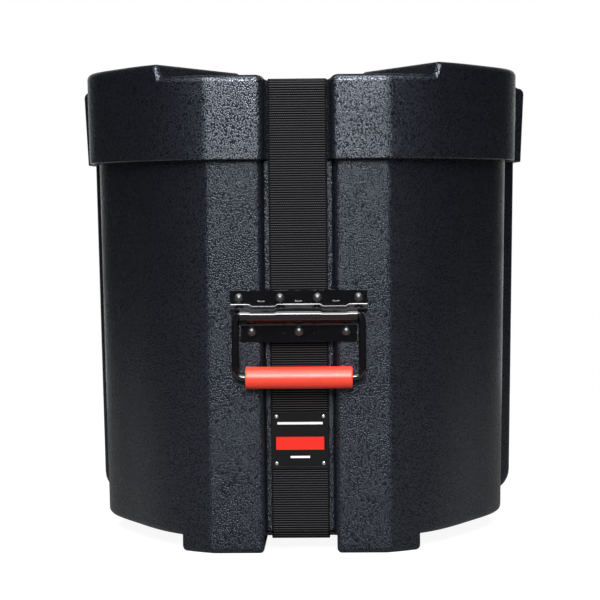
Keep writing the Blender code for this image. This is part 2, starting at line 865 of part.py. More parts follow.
# Sprung arms: a round root against the male half and a button that fills the window
for side, arm_name in ((-1, "buckle_arm_left"), (1, "buckle_arm_right")):
    pivot_y = arm_root_radius
    outline = []
    for i in range(7):
        angle = math.pi + math.pi * i / 6
        outline.append((arm_root_radius * math.cos(angle), arm_root_radius * math.sin(angle)))
    button = arm_button_x - arm_pivot_x
    start_y = arm_button_start - pivot_y
    slim = arm_thickness - arm_root_radius
    outline += [
        (arm_root_radius, start_y - button / 2),
        (button * 0.55, start_y),
        (button * 0.92, start_y + slim),
        (button, start_y + 2 * slim),
        (button * 0.9, arm_reach - 2 * slim),
        (button * 0.62, arm_reach - slim),
        (button * 0.25, arm_reach),
        (button * 0.05, arm_reach - slim / 2),
        (-slim / 4, start_y),
    ]
    if side < 0:
        outline = [(-x, y) for x, y in reversed(outline)]
    rings = [at_height(outline, z) for z in (-arm_half_height, arm_half_height)]
    arm = add_object(arm_name, loft_mesh(arm_name, [rings]), buckle_black, buckle_axis)
    arm.location = (side * arm_pivot_x, pivot_y, buckle_mid)


# Handle bracket: two flanges on the front flats and a barrel rolled round the bail
flange_y = -fit_gap
bracket_path = [(flange_y, -flange_drop)]
bracket_widths = [bracket_half_width]
barrel_outer = barrel_inner_radius + sheet_thickness
turn_start = math.radians(20)
for i in range(11):
    angle = -math.pi / 2 + turn_start + (math.pi - 2 * turn_start) * i / 10
    y = -barrel_stand_off - barrel_inner_radius * math.cos(angle)
    z = barrel_inner_radius * math.sin(angle)
    if i == 0:
        bracket_path.append((flange_y, z - sheet_thickness))
        bracket_widths.append(bracket_half_width)
    bracket_path.append((y, z))
    bracket_widths.append(bracket_half_width)
    if i == 10:
        bracket_path.append((flange_y, z + sheet_thickness))
        bracket_widths.append(bracket_half_width)
for i in range(4):
    angle = math.pi / 2 * i / 3
    short = bracket_corner_radius * (1 - math.sin(angle))
    bracket_path.append((flange_y, bracket_top_rise - short))
    bracket_widths.append(bracket_half_width - bracket_corner_radius * (1 - math.cos(angle)))
handle_bracket = add_object(
    "handle_bracket",
    loft_mesh("handle_bracket", [strip_rings(bracket_path, sheet_thickness, bracket_widths)]),
    enamel_black, handle_seat,
)
beyond = bracket_half_width + cut_overrun


def side_boxes(inner_x, low_y, high_y, low_z, high_z):
    boxes = []
    for side in (-1, 1):
        near, far = sorted((side * inner_x, side * beyond))
        boxes.append(((near, low_y, low_z), (far, high_y, high_z)))
    return boxes


outmost = -barrel_stand_off - barrel_outer - cut_overrun
ears = add_object(
    "ear_relief",
    box_mesh("ear_relief", side_boxes(
        barrel_half_width, outmost, cut_overrun, -flange_drop - cut_overrun, barrel_step
    )),
    None, handle_seat,
)
add_boolean(handle_bracket, ears, "DIFFERENCE")
barrel_ends = add_object(
    "barrel_ends",
    box_mesh("barrel_ends", side_boxes(
        barrel_half_width + fit_gap, outmost, -sheet_thickness - 2 * fit_gap, 0, barrel_outer + cut_overrun
    )),
    None, handle_seat,
)
add_boolean(handle_bracket, barrel_ends, "DIFFERENCE")
flange_ends = add_object(
    "flange_ends",
    box_mesh("flange_ends", side_boxes(
        flange_half_width, -sheet_thickness * 2, cut_overrun,
        -flange_drop - cut_overrun, -barrel_outer - fit_gap
    )),
    None, handle_seat,
)
add_boolean(handle_bracket, flange_ends, "DIFFERENCE")


# Bail: one round wire bent into a loop, and the grip moulded over its lower run
def tube_mesh(name, points, radius, cyclic, resolution):
    curve = bpy.data.curves.new(name, "CURVE")
    curve.dimensions = "3D"
    curve.bevel_depth = radius
    curve.bevel_resolution = resolution
    curve.use_fill_caps = not cyclic
    spline = curve.splines.new("POLY")
    spline.points.add(len(points) - 1)
    for point, place in zip(spline.points, points):
        point.co = (*place, 1)
    spline.use_cyclic_u = cyclic
    guide = bpy.data.objects.new(name + "_guide", curve)
    cutter_collection.objects.link(guide)
    bpy.context.view_layer.update()
    mesh = bpy.data.meshes.new_from_object(guide.evaluated_get(bpy.context.evaluated_depsgraph_get()))
    bpy.data.objects.remove(guide, do_unlink=True)
    shape = bmesh.new()
    shape.from_mesh(mesh)
    bpy.data.meshes.remove(mesh)
    bmesh.ops.remove_doubles(shape, verts=shape.verts, dist=fit_gap / 10)
    return finish_mesh(name, shape, math.radians(40))


handle_axis = add_empty(
    "handle_axis", (0, -barrel_stand_off, 0), (-bail_swing_out, 0, 0), handle_seat
)
loop = [
    (bail_half_width, 0), (bail_half_width, -bail_drop),
    (-bail_half_width, -bail_drop), (-bail_half_width, 0),
]
bail_points = []
for i in range(4):
    before, corner, after = loop[i - 1], loop[i], loop[(i + 1) % 4]
    for x, z in round_off(before, corner, after, bail_corner_radius, 5):
        bail_points.append((x, 0, z))
handle_bail = add_object(
    "handle_bail", tube_mesh("handle_bail", bail_points, bail_radius, True, 3),
    enamel_black, handle_axis,
)
grip_bore = bail_radius + fit_gap
grip = turned_object(
    "handle_grip",
    [
        (grip_bore, grip_half_length),
        (grip_radius - grip_edge_round, grip_half_length),
        (grip_radius, grip_half_length - grip_edge_round),
        (grip_radius, grip_edge_round - grip_half_length),
        (grip_radius - grip_edge_round, -grip_half_length),
        (grip_bore, -grip_half_length),
        (grip_bore, grip_half_length),
    ],
    24, grip_red, handle_axis,
)
grip.location = (0, 0, -bail_drop)
grip.rotation_euler = (0, math.pi / 2, 0)

# Torsion springs in the barrel, wound round the bail
spring_radius = (bail_radius + barrel_inner_radius) / 2
turn_points = 8
for side, spring_name in ((-1, "handle_spring_left"), (1, "handle_spring_right")):
    coil = []
    for i in range(spring_turns * turn_points + 1):
        angle = 2 * math.pi * i / turn_points
        x = side * (spring_start + spring_pitch * i / turn_points)
        coil.append((x, spring_radius * math.sin(angle), spring_radius * math.cos(angle)))
    add_object(
        spring_name, tube_mesh(spring_name, coil, spring_wire_radius, False, 0), zinc_grey, handle_seat
    ).location = (0, -barrel_stand_off, 0)


# Rivets, each with its head outside, its shank through what it holds and its tail on a washer
def rivet_profile(head_radius, head_height, shank_radius, length, tail_radius, tail_height):
    profile = []
    for i in range(3):
        angle = math.pi / 2 * i / 3
        profile.append((head_radius * math.sin(angle), head_height * math.cos(angle)))
    profile += [(head_radius, 0), (shank_radius, 0), (shank_radius, -length)]
    if tail_radius:
        profile += [(tail_radius, -length), (tail_radius, -length - tail_height)]
        profile.append((0, -length - tail_height))
    else:
        profile.append((0, -length))
    return profile


facing_out = (math.pi / 2, 0, 0)


def add_rivet(name, x, z, head_y, inner_y, parent):
    """A rivet whose head sits at head_y and whose washer lies against a wall at inner_y."""
    washer_y = inner_y + fit_gap
    length = washer_y + washer_thickness + fit_gap - head_y
    rivet = turned_object(
        name,
        rivet_profile(
            rivet_head_radius, rivet_head_height, rivet_shank_radius, length,
            rivet_tail_radius, rivet_tail_height,
        ),
        12, zinc_grey if parent is anchor_seat else enamel_black, parent,
    )
    rivet.location = (x, head_y, z)
    rivet.rotation_euler = facing_out
    hole = rivet_shank_radius + fit_gap
    washer = turned_object(
        name.replace("rivet", "washer"),
        [
            (hole, washer_thickness), (washer_radius, washer_thickness), (washer_radius, 0),
            (hole, 0), (hole, washer_thickness),
        ],
        12, zinc_grey, parent,
    )
    washer.location = (x, washer_y + washer_thickness, z)
    washer.rotation_euler = facing_out


def drill(name, places, radius, low_y, high_y, parent):
    """One cutter of plain bores along Y."""
    shape = bmesh.new()
    for x, z in places:
        turn = Matrix.Rotation(math.pi / 2, 4, "X")
        place = Matrix.Translation((x, (low_y + high_y) / 2, z)) @ turn
        bmesh.ops.create_cone(
            shape, cap_ends=True, segments=12, radius1=radius, radius2=radius,
            depth=high_y - low_y, matrix=place,
        )
    return add_object(name, finish_mesh(name, shape), None, parent)


head_seat = flange_y - sheet_thickness - fit_gap
flat_inner = body_wall
channel_inner = body_channel_depth + body_wall
handle_rivets = [
    ("rivet_upper_1", -upper_rivet_outer_x, upper_rivet_rise, flat_inner),
    ("rivet_upper_2", -upper_rivet_inner_x, upper_rivet_rise, channel_inner),
    ("rivet_upper_3", upper_rivet_inner_x, upper_rivet_rise, channel_inner),
    ("rivet_upper_4", upper_rivet_outer_x, upper_rivet_rise, flat_inner),
    ("rivet_lower_1", -lower_rivet_x, -lower_rivet_drop, flat_inner),
    ("rivet_lower_2", 0, -lower_rivet_drop, channel_inner),
    ("rivet_lower_3", lower_rivet_x, -lower_rivet_drop, flat_inner),
]
for rivet_name, rivet_x, rivet_z, inner in handle_rivets:
    add_rivet(rivet_name, rivet_x, rivet_z, head_seat, inner, handle_seat)
rivet_hole = rivet_shank_radius + fit_gap
handle_bores = drill(
    "handle_bores", [(x, z) for _, x, z, _ in handle_rivets], rivet_hole,
    -sheet_thickness - cut_overrun, channel_inner + cut_overrun, handle_seat,
)
add_boolean(handle_bracket, handle_bores, "DIFFERENCE")
add_boolean(body_shell, handle_bores, "DIFFERENCE")
add_boolean(strap_lower, handle_bores, "DIFFERENCE")
add_boolean(bpy.data.objects["strap_front_run"], handle_bores, "DIFFERENCE")


# Identity plate, riveted to the webbing
def plate_mesh(name, half_width, half_height, corner, near_y, far_y):
    corners = [
        (half_width, -half_height), (half_width, half_height),
        (-half_width, half_height), (-half_width, -half_height),
    ]
    outline = []
    for i in range(4):
        outline += round_off(corners[i - 1], corners[i], corners[(i + 1) % 4], corner, 3)
    rings = [[(x, y, z) for x, z in outline] for y in (near_y, far_y)]
    return loft_mesh(name, [rings])


strap_face = -fit_gap - strap_thickness
plate_back = strap_face - fit_gap
plate_front = plate_back - plate_thickness
id_plate = add_object(
    "id_plate",
    plate_mesh("id_plate", plate_half_width, plate_half_height, plate_corner_radius, plate_back,
               plate_front),
    enamel_black, plate_seat,
)
plate_places = [
    (side_x * plate_rivet_x, side_z * plate_rivet_z) for side_x in (-1, 1) for side_z in (-1, 1)
]
for i, (x, z) in enumerate(plate_places):
    pin = turned_object(
        f"plate_rivet_{i + 1}",
        rivet_profile(
            plate_rivet_head, plate_rivet_height, plate_rivet_shank,
            plate_thickness + strap_thickness + fit_gap, 0, 0,
        ),
        10, zinc_grey, plate_seat,
    )
    pin.location = (x, plate_front - fit_gap, z)
    pin.rotation_euler = facing_out
plate_bores = drill(
    "plate_bores", plate_places, plate_rivet_shank + fit_gap,
    plate_front - cut_overrun, -fit_gap / 2, plate_seat,
)
add_boolean(id_plate, plate_bores, "DIFFERENCE")
add_boolean(strap_lower, plate_bores, "DIFFERENCE")

# Rear anchor: a plate that rivets the webbing to the channel in the flat back
anchor_back = strap_face - fit_gap
anchor_front = anchor_back - sheet_thickness
anchor_plate = add_object(
    "anchor_plate",
    plate_mesh("anchor_plate", anchor_half_width, anchor_half_height, bracket_corner_radius,
               anchor_back, anchor_front),
    enamel_black, anchor_seat,
)
for i, side in enumerate((-1, 1)):
    add_rivet(
        f"anchor_rivet_{i + 1}", side * anchor_rivet_x, 0, anchor_front - fit_gap, body_wall, anchor_seat
    )
anchor_bores = drill(
    "anchor_bores", [(-anchor_rivet_x, 0), (anchor_rivet_x, 0)], rivet_hole,
    anchor_front - cut_overrun, body_wall + cut_overrun, anchor_seat,
)
for thing in (anchor_plate, strap_lower, body_shell):
    add_boolean(thing, anchor_bores, "DIFFERENCE")
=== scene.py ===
# Moulded drum case: pebbled tub and lid, ribbed webbing with a side-release buckle, sprung bail handle.
import math

import bmesh
import bpy
from mathutils import Matrix, Vector
from mathutils.geometry import delaunay_2d_cdt


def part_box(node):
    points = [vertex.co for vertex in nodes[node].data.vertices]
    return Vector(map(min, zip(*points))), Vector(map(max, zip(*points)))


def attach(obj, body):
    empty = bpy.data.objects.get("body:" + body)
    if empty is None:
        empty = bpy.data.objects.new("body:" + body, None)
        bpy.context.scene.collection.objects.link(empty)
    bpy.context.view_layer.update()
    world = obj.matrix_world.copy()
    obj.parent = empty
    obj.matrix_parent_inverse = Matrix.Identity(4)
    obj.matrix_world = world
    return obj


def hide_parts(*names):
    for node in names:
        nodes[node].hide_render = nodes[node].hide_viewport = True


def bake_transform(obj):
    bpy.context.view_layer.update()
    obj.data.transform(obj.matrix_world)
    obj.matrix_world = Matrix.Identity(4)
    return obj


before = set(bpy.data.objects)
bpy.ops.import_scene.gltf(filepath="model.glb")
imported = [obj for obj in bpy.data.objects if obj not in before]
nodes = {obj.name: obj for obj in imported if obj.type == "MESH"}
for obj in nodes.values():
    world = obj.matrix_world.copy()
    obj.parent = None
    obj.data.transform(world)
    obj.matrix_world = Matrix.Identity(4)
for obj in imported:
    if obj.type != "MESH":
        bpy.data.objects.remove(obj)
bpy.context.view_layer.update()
print("frame loaded,", len(nodes), "nodes")


# camera, floor and light
view = {
    "place": (0.04627, -2.11794, 0.33022),
    "pan": 0.02353,
    "tilt": 0.04919,
    "roll": -0.00876,
    "focalShare": 3.47627,  # focal length over the frame's width
    "sensor": 36,
}
lensData = bpy.data.cameras.new("photoCamera")
lensData.sensor_width = view["sensor"]
lensData.lens = view["focalShare"] * view["sensor"]
lensData.clip_end = 60
photoCamera = bpy.data.objects.new("photoCamera", lensData)
bpy.context.scene.collection.objects.link(photoCamera)
photoCamera.matrix_world = (
    Matrix.Translation(view["place"])
    @ Matrix.Rotation(view["pan"], 4, "Z")
    @ Matrix.Rotation(math.pi / 2 - view["tilt"], 4, "X")
    @ Matrix.Rotation(view["roll"], 4, "Z")
)
bpy.context.scene.camera = photoCamera
bpy.context.scene.view_settings.view_transform = "Standard"

studio = {
    "floorSize": 2.7,
    "floorColour": (0.22, 0.22, 0.22),
    "floorRough": 0.9,
    "floorLift": 0.92,  # what the floor adds to itself where the lens, gloss or glass sees it
    "floorTurn": (1.05, 1.32),  # gloss sees that only on the far floor, from front to back
    "skyDiffuse": 0.30,  # what the white room gives to matt surfaces
    "roomFront": 0.02,  # the dark room behind the camera, seen in gloss
    "roomBack": 1.0,  # the white wall behind the case, seen in gloss
    "roomTurn": (0.86, 0.99),  # where one goes over into the other
    "lamps": [
        # name, place, aim, size across, size up, watts
        ("frontStrip", (0.0, -2.60, 1.42), (0.0, -0.2, 0.36), 0.62, 1.15, 88),
        ("topBox", (0.0, -1.10, 2.00), (0.0, -0.20, 0.3), 2.6, 1.2, 58),
    ],
}


# shader helpers: a value that is another node's output is linked, any other is set on the socket
def feed(tree, node, values):
    for key, value in values.items():
        if isinstance(value, bpy.types.NodeSocket):
            tree.links.new(value, node.inputs[key])
        else:
            node.inputs[key].default_value = value
    return node


def addNode(tree, kind, values=None, **settings):
    node = tree.nodes.new("ShaderNode" + kind)
    for key, value in settings.items():
        setattr(node, key, value)
    return feed(tree, node, values or {})


def addMath(tree, operation, *values):
    return addNode(tree, "Math", dict(enumerate(values)), operation=operation).outputs[0]


def addRange(tree, value, ends, result=(0.0, 1.0), smooth=False):
    node = addNode(tree, "MapRange", {
        "Value": value, "From Min": ends[0], "From Max": ends[1], "To Min": result[0], "To Max": result[1],
    }, interpolation_type="SMOOTHSTEP" if smooth else "LINEAR")
    return node.outputs["Result"]


def addNoise(tree, spot, scale, detail, roughness=0.5):
    values = {"Vector": spot, "Scale": scale, "Detail": detail, "Roughness": roughness}
    return addNode(tree, "TexNoise", values).outputs["Fac"]


def addBump(tree, height, distance, strength=1.0):
    values = {"Height": height, "Distance": distance, "Strength": strength}
    return addNode(tree, "Bump", values).outputs["Normal"]


def coordsOf(tree, kind="Object"):
    return addNode(tree, "TexCoord").outputs[kind]


def twoTones(tree, factor, colour, darker, lighter):
    dark, light = ((*(share * c for c in colour), 1) for share in (darker, lighter))
    return addNode(tree, "Mix", {"Factor": factor, "A": dark, "B": light}, data_type="RGBA").outputs["Result"]


def newFinish(name):
    material = bpy.data.materials.new(name)
    material.use_nodes = True
    return material, material.node_tree, material.node_tree.nodes["Principled BSDF"]


def addShape(name, operator, scale=(1, 1, 1), **settings):
    # the new object gets its name and keeps its place, turn and scale in its mesh
    bpy.ops.object.select_all(action="DESELECT")
    operator(**settings)
    piece = bpy.context.object
    piece.name = name
    piece.scale = scale
    bpy.ops.object.transform_apply(location=True, rotation=True, scale=True)
    return piece


def seenRays(tree):
    # the light path, and 1 where the lens sees a point, also through glass
    path = addNode(tree, "LightPath")
    return path, addMath(tree, "MAXIMUM", path.outputs["Is Camera Ray"], path.outputs["Is Transmission Ray"])


def lightRoom():
    world = bpy.data.worlds.new("room")
    bpy.context.scene.world = world
    world.use_nodes = True
    tree = world.node_tree
    path, seen = seenRays(tree)
    heading = addNode(tree, "SeparateXYZ", {0: coordsOf(tree, "Generated")})
    tones = (studio["roomFront"], studio["roomBack"])
    room = addRange(tree, heading.outputs["Y"], studio["roomTurn"], tones, smooth=True)
    unseen = addNode(tree, "Mix", {0: path.outputs["Is Glossy Ray"], 2: studio["skyDiffuse"], 3: room}).outputs[0]
    strength = addNode(tree, "Mix", {0: seen, 2: unseen, 3: 1.0}).outputs[0]
    feed(tree, tree.nodes["Background"], {"Color": (1, 1, 1, 1), "Strength": strength})
    for name, place, aim, across, up, watts in studio["lamps"]:
        lampData = bpy.data.lights.new(name, "AREA")
        lampData.shape = "RECTANGLE"
        lampData.size = across
        lampData.size_y = up
        lampData.energy = watts
        lamp = bpy.data.objects.new(name, lampData)
        bpy.context.scene.collection.objects.link(lamp)
        lamp.location = place
        lamp.rotation_euler = (Vector(aim) - Vector(place)).to_track_quat("-Z", "Y").to_euler()


def layFloor():
    floor = addShape("paleFloor", bpy.ops.mesh.primitive_plane_add, size=studio["floorSize"])
    material, tree, shader = newFinish("paleFloor")
    colour = (*studio["floorColour"], 1)
    feed(tree, shader, {"Base Color": colour, "Roughness": studio["floorRough"], "Specular IOR Level": 0.0})
    path, seen = seenRays(tree)
    spot = addNode(tree, "SeparateXYZ", {0: coordsOf(tree)})
    behind = addRange(tree, spot.outputs["Y"], studio["floorTurn"], smooth=True)
    mirrored = addMath(tree, "MULTIPLY", path.outputs["Is Glossy Ray"], behind)
    lift = addRange(tree, addMath(tree, "MAXIMUM", seen, mirrored), (0, 1), (0, studio["floorLift"]))
    glow = addNode(tree, "Emission", {"Strength": lift})
    total = addNode(tree, "AddShader", {0: shader.outputs[0], 1: glow.outputs[0]})
    feed(tree, tree.nodes["Material Output"], {"Surface": total.outputs[0]})
    floor.data.materials.append(material)


lightRoom()
layFloor()
print("camera, light and floor set")


# finishes
finishes = {
    "grain": {
        # sizes against the pebble's: where a plateau's bank starts and ends, and the finer skin's share and scale
        "bank": (0.72, 0.36), "skinShare": 0.30, "skinScale": 2.6, "scuffScale": 26.0,
        # tint: a blue tint on the reflections, a painted light colour in place of a bluish lamp
        # tones: the colour's share on the banks and on the plateaus, painted shade in the cracks and painted light on
        # the plateaus
        "glossSpread": (-0.03, 0.04), "tones": (0.70, 1.25), "tint": (0.78, 0.86, 1.0, 1),
    },
    # crack: the share of the reflection left in the cracks, a painted shade
    "tub": {
        "colour": (0.0052, 0.0058, 0.0082), "gloss": 0.27,
        "pebble": 0.00150, "depth": 0.00015, "shine": 0.80, "crack": 0.34,
    },
    "lid": {
        "colour": (0.0052, 0.0058, 0.0084), "gloss": 0.27,
        "pebble": 0.00150, "depth": 0.00017, "shine": 1.60, "crack": 0.12,
    },
    "webbing": {
        "colour": (0.0170, 0.0160, 0.0172), "gloss": 0.70,
        # tones: the colour's share in the grooves and on the rib tops, painted shade low and painted light high
        "rib": 0.00218, "thread": 0.00190, "depth": 0.00055, "tones": (0.01, 4.2),
        "groove": 0.20,  # how much of half a rib, counted as 0.5, lies low
        "threadLow": 0.55,  # a rib's height between two threads
        "selvedge": (0.0248, 0.0258), "selvedgeLow": 0.25,
    },
    "enamel": {"colour": (0.0036, 0.0036, 0.0044), "gloss": 0.11, "coat": 0.35, "shine": 0.4},
    "rivet": {"colour": (0.0060, 0.0060, 0.0068), "gloss": 0.33, "shine": 1.1},
    "grip": {"colour": (0.74, 0.048, 0.024), "gloss": 0.33, "peel": 0.00006, "peelScale": 420.0},
    "zinc": {"colour": (0.62, 0.62, 0.64), "gloss": 0.26, "peel": 0.00001, "metal": 1.0},
    "acetal": {"colour": (0.0120, 0.0120, 0.0130), "gloss": 0.36, "peel": 0.00003, "peelScale": 1500.0},
    "foam": {"colour": (0.040, 0.041, 0.046), "gloss": 0.95, "cellScale": 900.0, "depth": 0.00035},
}


def pebbledPlastic(name, settings):
    # moulded grain: low plateaus with steep little banks between them, and a finer skin on top
    material, tree, shader = newFinish(name)
    spot = coordsOf(tree)
    grain, size, shine = finishes["grain"], settings["pebble"], settings["shine"]
    cells = addNode(tree, "TexVoronoi", {"Vector": spot, "Scale": 1 / size}, feature="F1")
    banks = addRange(tree, cells.outputs["Distance"], grain["bank"], smooth=True)
    skin = addNoise(tree, spot, grain["skinScale"] / size, 2.0, 0.6)
    scuff = addNoise(tree, spot, grain["scuffScale"], 5.0, 0.65)
    feed(tree, shader, {
        # painted shade and light: the banks between the plateaus are coloured darker, the plateaus lighter
        "Base Color": twoTones(tree, banks, settings["colour"], *grain["tones"]),
        "Roughness": addRange(tree, scuff, (0.3, 0.7), [settings["gloss"] + part for part in grain["glossSpread"]]),
        "Normal": addBump(tree, addMath(tree, "MULTIPLY_ADD", skin, grain["skinShare"], banks), settings["depth"]),
        "IOR": 1.5,
        # painted shade: the reflection is turned down in the cracks between the plateaus, so little light comes back
        # out of them
        "Specular IOR Level": addRange(tree, banks, (0, 1), (settings["crack"] * shine, shine)),
        # painted light colour: the reflections are tinted blue in place of a bluish lamp
        "Specular Tint": grain["tint"],
    })
    return material


def ribbedWebbing(name, settings):
    # the weave map runs across the strap in X and along it in Y, in metres
    material, tree, shader = newFinish(name)
    weave = addNode(tree, "SeparateXYZ", {0: addNode(tree, "UVMap", uv_map="weave").outputs["UV"]})
    across, along = weave.outputs["X"], weave.outputs["Y"]

    def wave(count, low):
        return addRange(tree, addMath(tree, "PINGPONG", count, 0.5), (low, 0.5), smooth=True)

    ribCount = addMath(tree, "DIVIDE", along, settings["rib"])
    halfStep = addMath(tree, "MULTIPLY", addMath(tree, "FLOOR", ribCount), 0.5)
    threadCount = addMath(tree, "ADD", addMath(tree, "DIVIDE", across, settings["thread"]), halfStep)
    low = settings["threadLow"]
    thread = addMath(tree, "MULTIPLY_ADD", wave(threadCount, 0.0), 1 - low, low)
    cloth = addMath(tree, "MULTIPLY", wave(ribCount, settings["groove"]), thread)
    fromMiddle, heights = addMath(tree, "ABSOLUTE", across), (1.0, settings["selvedgeLow"])
    height = addMath(tree, "MULTIPLY", cloth, addRange(tree, fromMiddle, settings["selvedge"], heights, smooth=True))
    feed(tree, shader, {
        # painted shade and light: the colour follows the weave's height, dark in the grooves, between threads and on
        # the low selvedges, light on the rib tops
        "Base Color": twoTones(tree, height, settings["colour"], *settings["tones"]),
        "Roughness": settings["gloss"],
        "Normal": addBump(tree, height, settings["depth"]),
        "Sheen Weight": 0.02,
        "Sheen Roughness": 0.5,
        "Specular IOR Level": 0.04,
    })
    return material


def smoothCoating(name, settings):
    # a faint orange peel, and marks that vary colour and gloss
    material, tree, shader = newFinish(name)
    spot, gloss = coordsOf(tree), settings["gloss"]
    peel = addNoise(tree, spot, settings.get("peelScale", 900.0), 2.0)
    marks = addNoise(tree, spot, 130.0, 5.0, 0.7)
    feed(tree, shader, {
        "Base Color": twoTones(tree, marks, settings["colour"], 0.86, 1.08),
        "Roughness": addRange(tree, marks, (0.3, 0.7), (gloss - 0.05, gloss + 0.05)),
        "Normal": addBump(tree, peel, settings.get("peel", 0.00002), 0.7),
        "Metallic": settings.get("metal", 0.0),
        "Coat Weight": settings.get("coat", 0.0),
        "Coat Roughness": 0.08,
        "Specular IOR Level": settings.get("shine", 0.5),
    })
    return material


def closedCellFoam(name, settings):
    material, tree, shader = newFinish(name)
    values = {"Vector": coordsOf(tree), "Scale": settings["cellScale"]}
    cells = addNode(tree, "TexVoronoi", values, feature="F1").outputs["Distance"]
    feed(tree, shader, {
        # painted shade: each cell is coloured darker in its low middle and lighter toward its raised rim, as the bump
        # shapes it
        "Base Color": twoTones(tree, cells, settings["colour"], 0.5, 1.5),
        "Roughness": settings["gloss"],
        "Normal": addBump(tree, cells, settings["depth"], 0.8),
    })
    return material


tubPlastic = pebbledPlastic("tubPlastic", finishes["tub"])
lidPlastic = pebbledPlastic("lidPlastic", finishes["lid"])
blackWebbing = ribbedWebbing("blackWebbing", finishes["webbing"])
blackEnamel = smoothCoating("blackEnamel", finishes["enamel"])
blackRivet = smoothCoating("blackRivet", finishes["rivet"])
redGrip = smoothCoating("redGrip", finishes["grip"])
brightZinc = smoothCoating("brightZinc", finishes["zinc"])
blackAcetal = smoothCoating("blackAcetal", finishes["acetal"])
greyFoam = closedCellFoam("greyFoam", finishes["foam"])
print("finishes made")


# modelling helpers
def pickOnly(piece):
    bpy.ops.object.select_all(action="DESELECT")
    piece.select_set(True)
    bpy.context.view_layer.objects.active = piece


def selectMesh(action="SELECT"):
    bpy.ops.mesh.select_all(action=action)


def startEdit(piece, action="DESELECT"):
    pickOnly(piece)
    bpy.ops.object.mode_set(mode="EDIT")
    selectMesh(action)


def endEdit():
    bpy.ops.object.mode_set(mode="OBJECT")


def endOutward():
    # every face turned outward, then back to object mode
    selectMesh()
    bpy.ops.mesh.normals_make_consistent(inside=False)
    endEdit()


def pick(piece, kind, rule):
    # kind is FACE, EDGE or VERT
    shape = bmesh.from_edit_mesh(piece.data)
    bpy.ops.mesh.select_mode(type=kind)
    selectMesh("DESELECT")
    for item in {"FACE": shape.faces, "EDGE": shape.edges, "VERT": shape.verts}[kind]:
        if rule(item):
            item.select_set(True)
    if kind == "VERT":
        shape.select_flush_mode()
    bmesh.update_edit_mesh(piece.data)


def extrudeEdges(move=(0, 0, 0)):
    bpy.ops.mesh.extrude_edges_move(TRANSFORM_OT_translate={"value": move})


def extrudeFaces(move):
    bpy.ops.mesh.extrude_region_move(TRANSFORM_OT_translate={"value": move})


def bevelEdges(offset, segments):
    bpy.ops.mesh.bevel(offset=offset, segments=segments, affect="EDGES")


def applyModifier(piece, kind, **settings):
    pickOnly(piece)
    modifier = piece.modifiers.new(kind.lower(), kind)
    for key, value in settings.items():
        setattr(modifier, key, value)
    bpy.ops.object.modifier_apply(modifier=modifier.name)


def softenEdges(piece, width, angle):
    applyModifier(piece, "BEVEL", width=width, segments=2, limit_method="ANGLE", angle_limit=math.radians(angle))


def combineWith(piece, tool, operation):
    applyModifier(piece, "BOOLEAN", operation=operation, object=tool, solver="EXACT")
    bpy.data.objects.remove(tool, do_unlink=True)


def smoothPiece(piece, angle, weighted=True):
    pickOnly(piece)
    bpy.ops.object.shade_smooth_by_angle(angle=math.radians(angle))
    if weighted:
        applyModifier(piece, "WEIGHTED_NORMAL", keep_sharp=True, weight=50)


def placePiece(piece, matrix):
    piece.data.transform(matrix)
    piece.data.update()


def handOver(piece, body, material, slot, *replaced):
    piece.data.materials.clear()
    piece.data.materials.append(material)
    if body:
        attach(piece, body)
    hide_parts(*replaced)


def addCube(name, low, high):
    middle, size = [(a + b) / 2 for a, b in zip(low, high)], [b - a for a, b in zip(low, high)]
    return addShape(name, bpy.ops.mesh.primitive_cube_add, size, size=1, location=middle)


def mergedCopy(name, node):
    piece = bpy.data.objects.new(name, nodes[node].data.copy())
    bpy.context.scene.collection.objects.link(piece)
    startEdit(piece, "SELECT")
    bpy.ops.mesh.remove_doubles(threshold=0.00002)
    endEdit()
    return piece


